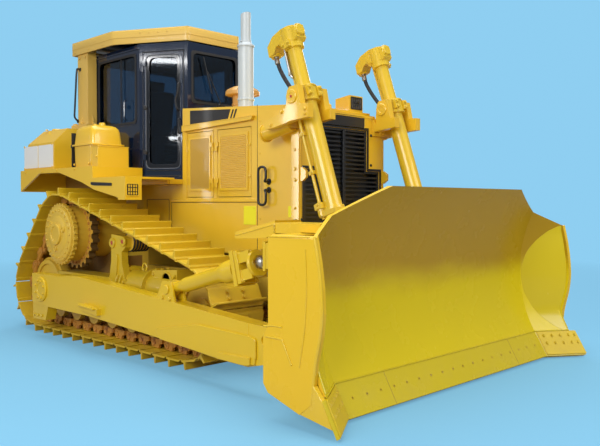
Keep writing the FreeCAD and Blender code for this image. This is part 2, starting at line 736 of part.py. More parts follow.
def make_radiator():
    """Radiator core: one block behind the grille."""
    return box((GUARD_REAR - 90, GUARD_REAR), (-HOOD_HALF + PANEL_T + 1, HOOD_HALF - PANEL_T - 1),
               (RAIL_TOP, GRILLE_TOP + 30))


LAMP_BOX_Y = 302.0
LAMP_BOX_DEPTH = 177.0
LAMP_BOX_H = 152.0


def make_lamp_boxes():
    """Two lamp boxes on the hood's front edge."""
    boxes = []
    for side in (RIGHT, LEFT):
        front = GUARD_REAR - 20
        rear = front - LAMP_BOX_DEPTH
        outline = [(front, hood_top(front)), (front, hood_top(front) + LAMP_BOX_H),
                   (rear, hood_top(rear) + LAMP_BOX_H - 35), (rear, hood_top(rear))]
        boxes.append(slab_y(outline, side * LAMP_BOX_Y - 95, side * LAMP_BOX_Y + 95))
    return Part.makeCompound(boxes)


STACK_X = 1156.0
STACK_TOP = 3300.0
MUFFLER_TOP = 2975.0
MUFFLER_R = 76.0
PIPE_R = 49.0
STACK_Y = -300.0


def make_exhaust():
    """Exhaust: a thick muffler through the hood and a thin pipe with a slanting mouth."""
    base = hood_top(STACK_X) - PANEL_T
    muffler = rod(V(STACK_X, STACK_Y, base), V(STACK_X, STACK_Y, MUFFLER_TOP), MUFFLER_R)
    pipe = rod(V(STACK_X, STACK_Y, MUFFLER_TOP), V(STACK_X, STACK_Y, STACK_TOP), PIPE_R)
    bore = rod(V(STACK_X, STACK_Y, MUFFLER_TOP + 25), V(STACK_X, STACK_Y, STACK_TOP), PIPE_R - 6)
    slant = slab_y([(STACK_X - 90, STACK_TOP + 1), (STACK_X - 90, STACK_TOP - 45),
                    (STACK_X + 90, STACK_TOP + 1)], STACK_Y - 90, STACK_Y + 90)
    return muffler.fuse(pipe).cut(bore).cut(slant)


INTAKE_X = 760.0
INTAKE_Y = 0.0
INTAKE_R = 104.0
CAP_R = 172.0


def make_intake():
    """Air pre-cleaner: a short stem with a mushroom cap."""
    base = hood_top(INTAKE_X)
    brim = base + 169
    outline = [(0, base - PANEL_T), (INTAKE_R, base - PANEL_T), (INTAKE_R, brim), (CAP_R, brim + 5),
               (CAP_R, brim + 35), (INTAKE_R, brim + 85), (0, brim + 85)]
    points = [V(INTAKE_X + r, INTAKE_Y, z) for r, z in outline]
    face = Part.Face(Part.makePolygon(points + points[:1]))
    return face.revolve(V(INTAKE_X, INTAKE_Y, 0), V(0, 0, 1), 360)


hood = make_hood()
exhaust = make_exhaust()
intake = make_intake()
for x, y, radius in ((STACK_X, STACK_Y, MUFFLER_R), (INTAKE_X, INTAKE_Y, INTAKE_R)):
    hood = hood.cut(rod(V(x, y, hood_top(x) - 100), V(x, y, hood_top(x) + 100), radius))
keep("hood", hood)
keep("exhaust_stack", exhaust)
keep("air_precleaner", intake)
keep("side_skirts", Part.makeCompound(make_skirts()))
keep("radiator_guard", make_radiator_guard())
keep("radiator_grille", make_grille())
keep("radiator_core", make_radiator())
keep("lamp_boxes", make_lamp_boxes())
for name, side in SIDES:
    keep("engine_door_rear_" + name, make_engine_door(side, False))
    keep("engine_door_front_" + name, make_engine_door(side, True))


# Platform, fenders and tanks

PLATFORM_CORE = 450.0


def make_platform():
    """Platform: the deck under the cab, on a hollow core as wide as the case."""
    half = FENDER_IN - FENDER_T
    ends = (CAB_REAR - 20, HOOD_REAR)
    deck = box(ends, (-half, half), (CAB_FLOOR - DECK_T, CAB_FLOOR))
    core = box(ends, (-PLATFORM_CORE, PLATFORM_CORE), (CASE_TOP, CAB_FLOOR - DECK_T))
    hollow = box((CASE_FRONT + 60, HOOD_REAR - 40), (40 - PLATFORM_CORE, PLATFORM_CORE - 40),
                 (CASE_TOP, CAB_FLOOR - DECK_T))
    return deck.fuse(core.cut(hollow))


FENDER_REAR = -1783.0
FENDER_FRONT = 475.0
HYD_FRONT = -135.0


def make_fender():
    """Fender: a raised deck under the tanks, a lower step in front and a cut-away skirt."""
    skirt = slab_y([(FENDER_REAR, FENDER_TOP), (FENDER_REAR, 1577), (-1313, 1777), (-852, 1775),
                    (-344, 1657), (-102, 1579), (FENDER_FRONT, FENDER_STEP - 225),
                    (FENDER_FRONT, FENDER_STEP), (HYD_FRONT, FENDER_STEP), (HYD_FRONT, FENDER_TOP)],
                   FENDER_HALF - FENDER_T, FENDER_HALF)
    deck = box((FENDER_REAR, HYD_FRONT), (FENDER_IN, FENDER_HALF), (FENDER_TOP - FENDER_T, FENDER_TOP))
    step = box((HYD_FRONT, FENDER_FRONT), (FENDER_IN, FENDER_HALF), (FENDER_STEP - FENDER_T, FENDER_STEP))
    riser = box((HYD_FRONT - FENDER_T, HYD_FRONT), (FENDER_IN, FENDER_HALF),
                (FENDER_STEP - FENDER_T, FENDER_TOP))
    inner_low = FENDER_STEP - FENDER_INNER_H
    inner = slab_y([(CAB_REAR - 20, FENDER_TOP), (CAB_REAR - 20, inner_low), (FENDER_FRONT - 120, inner_low),
                    (FENDER_FRONT - 120, FENDER_STEP), (HYD_FRONT, FENDER_STEP), (HYD_FRONT, FENDER_TOP)],
                   FENDER_IN - FENDER_T, FENDER_IN)
    rear = box((FENDER_REAR, FENDER_REAR + FENDER_T), (FENDER_IN, FENDER_HALF), (1577, FENDER_TOP))
    lamp = box((FENDER_FRONT - 130, FENDER_FRONT), (FENDER_HALF - 185, FENDER_HALF),
               (FENDER_STEP - 225, FENDER_STEP))
    return skirt.multiFuse([deck, step, riser, inner, rear, lamp])


# Sections of a side tank's lid, (height above its foot, inset)
LID = ((0.0, -18.0), (18.0, -18.0), (155.0, 12.0), (200.0, 38.0), (220.0, 85.0))


def make_side_tank():
    """Tank on a fender: a box with a domed lid and a filler cap."""
    y0 = CAB_HALF + SIDE_TANK_CLEAR
    y1 = y0 + SIDE_TANK_W
    x0, x1 = HYD_FRONT - SIDE_TANK_L, HYD_FRONT
    top = FENDER_TOP + SIDE_TANK_H
    fold = top - LID[-1][0]
    pieces = [box((x0, x1), (y0, y1), (FENDER_TOP, fold))]
    rings = []
    for height, inset in LID:
        corners = ((x0 + inset, y0 + inset), (x1 - inset, y0 + inset), (x1 - inset, y1 - inset),
                   (x0 + inset, y1 - inset), (x0 + inset, y0 + inset))
        rings.append(Part.makePolygon([V(x, y, fold + height) for x, y in corners]))
    for lower, upper in zip(rings, rings[1:]):
        pieces.append(Part.makeLoft([lower, upper], True, True))
    middle = (y0 + y1) / 2
    pieces.append(rod(V(x0 + 330, middle, top), V(x0 + 330, middle, top + 40), 45))
    return pieces[0].multiFuse(pieces[1:])


def make_fuel_tank():
    """Fuel tank across the rear, notched in front for the roof posts."""
    outline = whole_front([(TANK_HALF, FENDER_TOP), (TANK_HALF, TANK_TOP - 160), (TANK_HALF - 160, TANK_TOP)])
    tank = slab_x(outline, -1830, -1070)
    notch = box((-1420, -1070), (-POST_OUT - 63, POST_OUT + 63), (FENDER_TOP, TANK_TOP))
    rear = slab_y([(-1830, FENDER_TOP), (-1830, TANK_TOP), (-1640, TANK_TOP)], -TANK_HALF, TANK_HALF)
    under = box((-1640, CAB_REAR - 100), (-CASE_HALF, CASE_HALF), (CASE_TOP, FENDER_TOP))
    return tank.cut(notch).cut(rear).fuse(under)


keep("platform", make_platform())
for name, side in SIDES:
    keep("fender_" + name, on_side(side, make_fender()))
keep("hydraulic_tank", mirror(make_side_tank()))
keep("battery_box", make_side_tank())
keep("fuel_tank", make_fuel_tank())


# Cab

ROOF_BOTTOM = ROOF_TOP - ROOF_DEPTH
CAB_TOP = ROOF_BOTTOM - ROOF_CLEAR
DOOR_LINE = math.atan2(CAB_HALF - CAB_FRONT_HALF, CAB_FRONT - CAB_PILLAR)
DOOR_WALL = math.hypot(CAB_HALF - CAB_FRONT_HALF, CAB_FRONT - CAB_PILLAR)
CAB_DOOR_BOTTOM = CAB_FLOOR + 35
CAB_DOOR_TOP = CAB_TOP - 80.0
CAB_DOOR_MARGIN = 38.0
CAB_DOOR_GAP = 6.0
CAB_HINGE_R = 10.0
CAB_HINGE_OUT = 16.0
CAB_HINGE_H = 60.0
CAB_HINGES = (CAB_FLOOR + 210.0, CAB_TOP - 240.0)
WINDOW_BOTTOM = 2370.0
WINDOW_TOP = CAB_TOP - 90.0
GLASS_T = 8.0


def cab_plan(inset):
    """Plan of the cab's left half, moved inwards by an inset."""
    shift = inset * math.tan((math.pi / 2 - DOOR_LINE) / 2)
    rear_shift = inset * math.tan(DOOR_LINE / 2)
    return whole_plan([(CAB_REAR + inset, CAB_HALF - inset),
                       (CAB_PILLAR - rear_shift, CAB_HALF - inset),
                       (CAB_FRONT - inset, CAB_FRONT_HALF - shift)])


def door_block(side, start, end, low, high, depth_in, depth_out=0.0):
    """A block on the slanting door wall, from its rear pillar forward and inwards."""
    block = Part.makeBox(end - start, depth_in + depth_out, high - low, V(start, -depth_in, low))
    block.rotate(V(0, 0, 0), V(0, 0, 1), -math.degrees(DOOR_LINE))
    block.translate(V(CAB_PILLAR, CAB_HALF, 0))
    return on_side(side, block)


def cab_hinge_at():
    """Place in plan of the left cab door's hinge line."""
    start = CAB_DOOR_MARGIN + CAB_DOOR_GAP
    x = CAB_PILLAR + start * math.cos(DOOR_LINE) + CAB_HINGE_OUT * math.sin(DOOR_LINE)
    y = CAB_HALF - start * math.sin(DOOR_LINE) + CAB_HINGE_OUT * math.cos(DOOR_LINE)
    return x, y


def cab_hinges(side, on_door):
    """Knuckles of a cab door: the lower ones on the pillar, the upper ones on the door."""
    start = CAB_DOOR_MARGIN + CAB_DOOR_GAP
    outside = CAB_HINGE_OUT + CAB_HINGE_R
    inside = CAB_HINGE_OUT - CAB_HINGE_R
    x, y = cab_hinge_at()
    pieces = []
    for z in CAB_HINGES:
        if on_door:
            low, high = z + 0.3, z + CAB_HINGE_H
            pieces.append(door_block(side, start, start + 40, low, high, 0, outside))
        else:
            low, high = z - CAB_HINGE_H, z
            pieces.append(door_block(side, CAB_DOOR_MARGIN - 30, CAB_DOOR_MARGIN, low, high, 0, outside))
            pieces.append(door_block(side, CAB_DOOR_MARGIN - 5, start, low, high, -inside, outside))
        pieces.append(rod(V(x, side * y, low), V(x, side * y, high), CAB_HINGE_R))
    return pieces


def make_cab_shell():
    """Cab: walls, floor and top sheet, with the window and door openings cut."""
    shell = slab_z(cab_plan(0), CAB_FLOOR, CAB_TOP)
    shell = shell.cut(slab_z(cab_plan(CAB_WALL), CAB_FLOOR + 30, CAB_TOP - 40))
    for side in (RIGHT, LEFT):
        shell = shell.cut(door_block(side, CAB_DOOR_MARGIN, DOOR_WALL - CAB_DOOR_MARGIN,
                                     CAB_DOOR_BOTTOM, CAB_DOOR_TOP, CAB_WALL * 1.02, 5))
        shell = shell.multiFuse(cab_hinges(side, False))
    for cutter in window_blocks(CAB_WALL):
        shell = shell.cut(cutter)
    return shell


def window_blocks(depth):
    """Blocks through the walls at the fixed windows: windscreen, rear and both rear sides."""
    inset = (CAB_WALL - depth) / 2
    blocks = [
        box((CAB_FRONT - CAB_WALL + inset, CAB_FRONT - inset), (-CAB_FRONT_HALF + 55, CAB_FRONT_HALF - 55),
            (WINDOW_BOTTOM + 140, WINDOW_TOP)),
        box((CAB_REAR + inset, CAB_REAR + CAB_WALL - inset), (-CAB_HALF + 120, CAB_HALF - 120),
            (WINDOW_BOTTOM, WINDOW_TOP)),
    ]
    for side in (RIGHT, LEFT):
        wall = (side * (CAB_HALF - CAB_WALL + inset), side * (CAB_HALF - inset))
        blocks.append(box((CAB_REAR + 70, CAB_PILLAR - 60), wall, (WINDOW_BOTTOM - 60, WINDOW_TOP)))
    return blocks


# Door glass, (distance from the hinge edge, distance from the lock edge, bottom, top)
DOOR_PANES = ((62.0, 62.0, CAB_FLOOR + 150.0, CAB_DOOR_TOP - 62.0),)


def make_cab_door(side):
    """Cab door: a panel in the slanting wall with one tall window opening."""
    edge = CAB_DOOR_MARGIN + CAB_DOOR_GAP
    door = door_block(side, edge, DOOR_WALL - edge, CAB_DOOR_BOTTOM + CAB_DOOR_GAP,
                      CAB_DOOR_TOP - CAB_DOOR_GAP, 42)
    for hinge_edge, lock_edge, low, high in DOOR_PANES:
        door = door.cut(door_block(side, edge + hinge_edge, DOOR_WALL - edge - lock_edge, low, high,
                                   60, 10))
    return door.multiFuse(cab_hinges(side, True))


def make_door_glass(side):
    edge = CAB_DOOR_MARGIN + CAB_DOOR_GAP
    panes = []
    for hinge_edge, lock_edge, low, high in DOOR_PANES:
        pane = door_block(side, edge + hinge_edge, DOOR_WALL - edge - lock_edge, low, high,
                          24, -24 + GLASS_T)
        panes.append(pane)
    return Part.makeCompound(panes)


def make_seat():
    """Operator's seat on its pedestal."""
    floor = CAB_FLOOR + 30
    pedestal = box((-780, -420), (-180, 180), (floor, floor + 320))
    cushion = box((-820, -330), (-250, 250), (floor + 320, floor + 450))
    head = CAB_TOP - 340
    back = slab_y([(-830, floor + 450), (-700, floor + 450), (-790, head), (-900, head)], -240, 240)
    return pedestal.multiFuse([cushion, back])


def make_console():
    """Dash and side consoles inside the cab."""
    floor = CAB_FLOOR + 30
    front = CAB_FRONT - CAB_WALL
    sill = WINDOW_BOTTOM + 150
    dash = slab_y([(front, floor), (front, sill), (front - 190, sill - 80), (front - 120, floor + 300),
                   (front - 120, floor)], -230, 230)
    return dash


keep("cab_shell", make_cab_shell())
keep("cab_glass", Part.makeCompound(window_blocks(GLASS_T)))
keep("operator_seat", make_seat())
keep("dash_console", make_console())
for name, side in SIDES:
    keep("cab_door_" + name, make_cab_door(side))
    keep("cab_door_glass_" + name, make_door_glass(side))


# Rollover frame and roof

def make_rops():
    """Rollover frame: two posts on feet, joined under the roof by a cross beam."""
    pieces = []
    for side in (RIGHT, LEFT):
        y = (side * POST_IN, side * POST_OUT)
        pieces.append(box((POST_REAR, POST_FRONT), y, (FENDER_TOP, ROOF_TOP - 25)))
        pieces.append(box((POST_REAR - 90, POST_FRONT + 40), (side * POST_IN, side * (POST_OUT + 40)),
                          (POST_FOOT, POST_FOOT + 50)))
    pieces.append(box((POST_REAR, CAB_REAR - 20), (-POST_IN, POST_IN), (ROOF_TOP - 145, ROOF_TOP - 25)))
    return pieces[0].multiFuse(pieces[1:])


def roof_plan(inset):
    return whole_plan([(ROOF_REAR + inset, ROOF_HALF - inset), (ROOF_CORNER, ROOF_HALF - inset),
                       (ROOF_FRONT - inset, ROOF_FRONT_HALF - inset * 0.5)])


def make_roof():
    """Roof: a deep-edged sheet over the cab."""
    roof = slab_z(roof_plan(0), ROOF_BOTTOM, ROOF_TOP)
    return roof.cut(slab_z(roof_plan(20), ROOF_BOTTOM, ROOF_TOP - 25))


keep("rops_frame", make_rops())
keep("rops_roof", make_roof())


# Blade

def moldboard_centre():
    """Centre and radius of the moldboard's arc, tangent to the cutting edge at its foot."""
    tx, tz = EDGE_TOP_X - EDGE_X, EDGE_TOP_Z - EDGE_Z
    length = math.hypot(tx, tz)
    nx, nz = tz / length, -tx / length
    dx, dz = BLADE_TOP_X - EDGE_TOP_X, BLADE_TOP_Z - EDGE_TOP_Z
    radius = (dx * dx + dz * dz) / (2 * (dx * nx + dz * nz))
    return EDGE_TOP_X + nx * radius, EDGE_TOP_Z + nz * radius, radius


MOLD_X, MOLD_Z, MOLD_R = moldboard_centre()


def mold_x(z):
    return MOLD_X - math.sqrt(MOLD_R ** 2 - (z - MOLD_Z) ** 2)


def in_skin(z):
    """A point inside the moldboard's skin, where a rib or a beam ends."""
    return mold_x(z) - SKIN_T / 2, z


def mold_section():
    """Wire of a moldboard section in Y = 0, between its front arc and its back arc."""
    foot = V(EDGE_TOP_X, 0, EDGE_TOP_Z)
    top = V(BLADE_TOP_X, 0, BLADE_TOP_Z)
    mid_z = (EDGE_TOP_Z + BLADE_TOP_Z) / 2
    arc = Part.Arc(foot, V(mold_x(mid_z), 0, mid_z), top).toShape()
    offset_foot = V(EDGE_TOP_X - SKIN_T * 1.3, 0, EDGE_TOP_Z)
    offset_top = V(BLADE_TOP_X - SKIN_T * 1.5, 0, BLADE_TOP_Z)
    inner = Part.Arc(offset_top, V(mold_x(mid_z) - SKIN_T, 0, mid_z), offset_foot).toShape()
    return Part.Wire([arc, Part.makeLine(top, offset_top), inner, Part.makeLine(offset_foot, foot)])


def mold_solid(y0, y1, rake):
    """Moldboard skin from y0 to y1, sheared forward by the rake angle."""
    forward = (y1 - y0) * math.tan(math.radians(rake))
    wire = mold_section()
    wire.translate(V(0, y0, 0))
    return Part.Face(wire).extrude(V(forward, y1 - y0, 0))


def edge_lines():
    """Directions of the cutting edge in (x, z): down along it, and out of its front face."""
    tx, tz = EDGE_X - EDGE_TOP_X, EDGE_Z - EDGE_TOP_Z
    length = math.hypot(tx, tz)
    return (tx / length, tz / length), (-tz / length, tx / length)


# End plate's outline, (distance ahead of the cutting edge, height)
END_PLATE = ((-18, 180), (11, 436), (57, 618), (72, 754), (63, 914), (39, 1074), (2, 1240),
             (-412, WING_TOP_Z), (-412, 645), (-460, 552), (-461, 246), (-415, 189))


def make_blade():
    """Blade: curved skin with raked wings, end plates, box beams and ribs behind."""
    skin = mold_solid(-FOLD_HALF, FOLD_HALF, 0)
    pieces = [skin]
    wing = mold_solid(FOLD_HALF, WING_END, WING_RAKE)
    end = slab_y([(EDGE_X + x, z) for x, z in END_PLATE] + [(EDGE_TOP_X, 100)],
                 WING_END, WING_END + END_PLATE_T)
    pieces += [wing, end, mirror(wing), mirror(end)]
    (ux, uz), (nx, nz) = edge_lines()
    seat_x, seat_z = EDGE_TOP_X - nx * EDGE_T, EDGE_TOP_Z - nz * EDGE_T
    beam = slab_y([(BLADE_BACK, 200), (BLADE_BACK, 560), in_skin(560), in_skin(400),
                   (EDGE_TOP_X, EDGE_TOP_Z), (seat_x, seat_z), (seat_x + ux * 60, seat_z + uz * 60)],
                  -WING_END, WING_END)
    upper = slab_y([(BLADE_UPPER_BACK, 1050), (BLADE_UPPER_BACK, 1235), in_skin(1235), in_skin(1050)],
                   -WING_END, WING_END)
    pieces += [beam, upper]
    for y in (-1200, -LIFT_Y - 190, -LIFT_Y + 160, 0, LIFT_Y - 160, LIFT_Y + 190, 1200):
        front = [in_skin(z) for z in (1120, 900, 700, 560)]
        rib = slab_y([(BLADE_BACK, 560), (BLADE_UPPER_BACK, 1120)] + front, y - 15, y + 15)
        pieces.append(rib)
    blade = pieces[0].multiFuse(pieces[1:])
    slope = (BLADE_TOP_Z - WING_TOP_Z) / (WING_END - BLADE_TOP_HALF)
    for side in (RIGHT, LEFT):
        over = WING_END + END_PLATE_T + 50
        low = BLADE_TOP_Z - slope * (over - BLADE_TOP_HALF)
        corner = [(side * BLADE_TOP_HALF, BLADE_TOP_Z), (side * over, low),
                  (side * over, BLADE_TOP_Z + 50), (side * BLADE_TOP_HALF, BLADE_TOP_Z + 50)]
        cut = slab_x(corner, EDGE_X - 700, EDGE_X + 500)
        blade = blade.cut(cut)
    return blade


# Brace guard's outlines, (distance ahead of the upper beam's back, height)
GUARD_TOP_PLATE = ((-698, 1204), (-698, 1224), (-258, 1319), (-258, 1299))
GUARD_CHEEK = ((-698, 1174), (-698, 1224), (-258, 1319), (-258, 1220), (-359, 1190))
GUARD_END_W = 110.0


def make_brace_guard():
    """Guard behind the blade's upper corner, over the brace's end."""
    back = BLADE_UPPER_BACK
    outer = GUARD_IN + GUARD_W

    def plate(outline, y0, y1):
        return slab_y([(back + x, z) for x, z in outline], y0, y1)

    skin_x = in_skin(WING_TOP_Z)[0] - back
    root = plate([(-259, 1227), (-259, 1303), (skin_x, 1300), (skin_x, 1240), (0, 1240), (0, 1227)],
                 GUARD_IN, outer)
    end = plate([(-280, 1220), (-280, 1312), (-258, 1319), (-258, 1220)], outer - GUARD_END_W, outer)
    top = plate(GUARD_TOP_PLATE, GUARD_IN, outer)
    return root.multiFuse([top, plate(GUARD_CHEEK, outer - 25, outer), end])


def make_cutting_edge():
    """Cutting edge: the middle bar and an end bit on each wing."""
    (ux, uz), (nx, nz) = edge_lines()
    outline = [(EDGE_TOP_X, EDGE_TOP_Z), (EDGE_X, EDGE_Z), (EDGE_X - nx * EDGE_T, EDGE_Z - nz * EDGE_T),
               (EDGE_TOP_X - nx * EDGE_T, EDGE_TOP_Z - nz * EDGE_T)]
    middle = slab_y(outline, -FOLD_HALF, FOLD_HALF)
    forward = (WING_END + END_PLATE_T - FOLD_HALF) * math.tan(math.radians(WING_RAKE))
    points = [V(x, FOLD_HALF, z) for x, z in outline]
    face = Part.Face(Part.makePolygon(points + points[:1]))
    bit = face.extrude(V(forward, WING_END + END_PLATE_T - FOLD_HALF, 0))
    return middle.multiFuse([bit, mirror(bit)])


blade = make_blade()
for name, side in SIDES:
    blade = blade.fuse(on_side(side, make_brace_guard()))
keep("blade", blade)
keep("cutting_edge", make_cutting_edge())


BRACE_X = 1440.0
BRACE_Z = 715.0
BRACE_HIGH_Z = 1130.0
BRACE_EYE_HALF = 42.0
BRACE_PIN_R = 28.0
BRACE_TUBE_R = 62.0
BRACE_BARREL_R = 86.0
DOUBLER_T = 16.0


def make_arm():
    """Push arm: a box beam outside the track, from its socket on the trunnion to the blade's lug."""
    nose = BLADE_BACK - 252
    outline = [(-1060, 690), (-1060, 380), (-980, 360), (-497, 355), (122, 351), (1222, 299),
               (2127, 233), (nose - 253, 226), (nose - 77, 267), (nose, 300), (nose, 543),
               (nose - 252, 553), (1591, 614), (-81, 720), (-490, 692)]
    arm = slab_y(outline, ARM_IN, ARM_OUT)
    arm = arm.cut(across(PIVOT_X, PIVOT_Z, ARM_IN, ARM_IN + PIVOT_DEPTH + 0.3, PIVOT_R + 0.3))
    block = slab_y([(-1062, 400), (-1062, 196), (-772, 206), (-700, 400)], ARM_IN + 20, ARM_OUT - 10)
    doubler = slab_y([(nose - 1430, 365), (nose - 845, 470), (nose - 235, 455), (nose - 160, 440),
                      (nose - 160, 258), (nose - 253, 240), (nose - 611, 246), (nose - 1365, 290)],
                     ARM_OUT - 5, ARM_OUT + DOUBLER_T)
    second = slab_y([(nose - 580, 290), (nose - 200, 300), (nose - 200, 252), (nose - 253, 240),
                     (nose - 580, 246)], ARM_OUT, ARM_OUT + 2 * DOUBLER_T)
    step = slab_y([(39, 412), (39, 462), (378, 445), (378, 380)], ARM_OUT - 5, ARM_OUT + 45)
    lug = slab_y([(nose - 38, 320), (nose - 38, 520), (BLADE_BACK, 540), (BLADE_BACK, 300)],
                 ARM_IN + 30, ARM_OUT - 30)
    middle = (ARM_IN + ARM_OUT) / 2
    ears = []
    for side in (RIGHT, LEFT):
        outline = [(BRACE_X - 190, 560), (BRACE_X - 60, BRACE_Z + 70), (BRACE_X + 60, BRACE_Z + 70),
                   (BRACE_X + 130, 560)]
        y = (middle + side * BRACE_EYE_HALF, middle + side * (BRACE_EYE_HALF + 22))
        ears.append(slab_y(outline, min(y), max(y)))
    ears = ears[0].fuse(ears[1]).cut(across(BRACE_X, BRACE_Z, ARM_IN, ARM_OUT, BRACE_PIN_R))
    return arm.multiFuse([block, doubler, second, step, lug, ears])


for name, side in SIDES:
    keep("push_arm_" + name, on_side(side, make_arm()))


def make_brace(fat_start):
    """Brace from the push arm's top bracket to the blade's upper lug."""
    y = (ARM_IN + ARM_OUT) / 2
    low = V(BRACE_X, y, BRACE_Z)
    high = V(BLADE_UPPER_BACK, y, BRACE_HIGH_Z)
    line = high - low
    point = low + line * fat_start
    joint = low + line * 0.7
    neck = rod(low + line * 0.02, low + line * 0.12, BRACE_EYE_HALF - 0.3)
    thin = rod(low + line * 0.1, point, BRACE_TUBE_R)
    fat = rod(point, joint, BRACE_BARREL_R)
    flange = slab_y([(-135, -22), (135, -22), (135, 22), (-135, 22)], -88, 88)
    flange.rotate(V(0, 0, 0), V(0, 1, 0), 90 - math.degrees(math.atan2(line.z, line.x)))
    flange.translate(low + line * 0.58)
    eye = rod(joint, low + line * 0.93, BRACE_TUBE_R)
    root = BLADE_UPPER_BACK - 160
    lug = slab_y([(root, 1040), (BLADE_UPPER_BACK, 1055), (BLADE_UPPER_BACK, 1220), (root, 1185)],
                 y - 60, y + 60)
    foot = across(low.x, low.z, y - BRACE_EYE_HALF + 0.3, y + BRACE_EYE_HALF - 0.3, 62)
    pin = across(low.x, low.z, y - BRACE_EYE_HALF - 22, y + BRACE_EYE_HALF + 22, BRACE_PIN_R)
    return thin.multiFuse([neck, fat, flange, eye, lug, foot, pin])


keep("tilt_brace", mirror(make_brace(0.45)))
keep("tilt_cylinder", make_brace(0.3))


# Lift cylinders

def down_line():
    return V(ROD_EYE_X - TRUNNION_X, 0, ROD_EYE_Z - TRUNNION_Z)


LIFT_LENGTH = down_line().Length
LIFT_DOWN = down_line().normalize()


def on_lift(distance, y=LIFT_Y, out=0.0):
    """A point on the left lift cylinder: distance below the trunnion, out to its front."""
    front = V(-LIFT_DOWN.z, 0, LIFT_DOWN.x)
    return V(TRUNNION_X, y, TRUNNION_Z) + LIFT_DOWN * distance + front * out


GLAND_END = 1040.0
GLAND_START = 960.0
HEAD_END = -560.0
BORE_TOP = -545.0
ROD_TOP = 290.0
TRUNNION_PIN_R = 40.0
TRUNNION_PIN_OUT = 185.0
EAR_IN = 115.0
EAR_T = 65.0


# Head's outline, (distance below the trunnion, out to the front)
HEAD = ((-498, -258), (-590, -250), (-648, -166), (-662, -50), (-648, 40), (-600, 100), (-520, 105),
        (-500, 80), (-500, -85), (-545, -110), (-545, -150), (-498, -190))
HEAD_HALF = 60.0
PIPE_OUT = -72.0
PIPE_ASIDE = 76.0
FEED_R = 14.0


def make_barrel():
    """Lift cylinder's barrel with its head, trunnion collar, pins, gland and side pipe."""
    lower = rod(on_lift(40), on_lift(GLAND_START), BARREL_R)
    upper = rod(on_lift(HEAD_END), on_lift(60), BARREL_TOP_R)
    collar = rod(on_lift(-95), on_lift(45), BARREL_R + 25)
    gland = rod(on_lift(GLAND_START), on_lift(GLAND_END), BARREL_R + 14)
    pins = across(TRUNNION_X, TRUNNION_Z, LIFT_Y - TRUNNION_PIN_OUT, LIFT_Y + TRUNNION_PIN_OUT,
                  TRUNNION_PIN_R)
    points = [on_lift(distance, LIFT_Y - HEAD_HALF, out) for distance, out in HEAD]
    head = Part.Face(Part.makePolygon(points + points[:1])).extrude(V(0, 2 * HEAD_HALF, 0))
    cap = rod(on_lift(-640), on_lift(-505), BARREL_TOP_R + 22)
    aside = LIFT_Y + PIPE_ASIDE
    pipe = rod(on_lift(30, aside, PIPE_OUT), on_lift(GLAND_START, aside, PIPE_OUT), FEED_R)
    upper_pipe = rod(on_lift(-520, LIFT_Y, -92), on_lift(-80, LIFT_Y, -80), FEED_R - 2)
    block = rod(on_lift(GLAND_START - 60, aside, PIPE_OUT), on_lift(GLAND_START + 55, aside, PIPE_OUT), 32)
    web = rod(on_lift(GLAND_START + 20, aside, PIPE_OUT), on_lift(GLAND_START + 20, LIFT_Y, 0), 18)
    bore = rod(on_lift(BORE_TOP), on_lift(GLAND_END), ROD_R + 0.3)
    pieces = [upper, collar, gland, pins, head, cap, pipe, upper_pipe, block, web]
    return lower.multiFuse(pieces).cut(bore)


# Hose from the head's port to the collar, (distance below the trunnion, out to the front)
HOSE = ((-496.4, -224), (-420, -228), (-320, -206), (-212, -168), (-120, -128), (-60, -104))
HOSE_R = 18.0


def make_hose():
    """Lift cylinder's hose, hung behind the barrel."""
    points = [on_lift(distance, LIFT_Y, out) for distance, out in HOSE]
    hose = tube(points, HOSE_R).fuse(rod(points[0], points[0] + (points[1] - points[0]) * 0.7, HOSE_R + 7))
    return hose.cut(rod(on_lift(-95.3), on_lift(45), BARREL_R + 25.3))


def make_rod():
    """Lift cylinder's rod with its eye, opened at the blade's pin."""
    bar = rod(on_lift(ROD_TOP), on_lift(LIFT_LENGTH - 60), ROD_R)
    eye = across(ROD_EYE_X, ROD_EYE_Z, LIFT_Y - 45, LIFT_Y + 45, ROD_EYE_R)
    bore = across(ROD_EYE_X, ROD_EYE_Z, LIFT_Y - 45, LIFT_Y + 45, ROD_EYE_BORE_R)
    return bar.fuse(eye).cut(bore)


def make_rod_bracket():
    """Ears and pin on the blade's back for a rod's eye."""
    outline = [(ROD_EYE_X - 70, ROD_EYE_Z - 60), (ROD_EYE_X + 40, ROD_EYE_Z - 110),
               (BLADE_BACK, ROD_EYE_Z - 150), (BLADE_BACK, ROD_EYE_Z + 100),
               (ROD_EYE_X + 30, ROD_EYE_Z + 70), (ROD_EYE_X - 60, ROD_EYE_Z + 60)]
    ears = [slab_y(outline, LIFT_Y + side * 50, LIFT_Y + side * 90) for side in (RIGHT, LEFT)]
    pin = across(ROD_EYE_X, ROD_EYE_Z, LIFT_Y - 100, LIFT_Y + 100, ROD_PIN_R)
    return ears[0].multiFuse([ears[1], pin])


# Outlines of the yoke's ears and outer arm, as places from the trunnion's centre
EAR = ((-68, -170), (-68, -68), (-56, 49), (-33, 82), (62, 92), (118, -151), (118, -170))
OUTER_ARM = ((-343, -193), (-318, -246), (-222, -242), (6, -195), (183, -182), (183, -69), (-35, -65),
             (-127, -114))


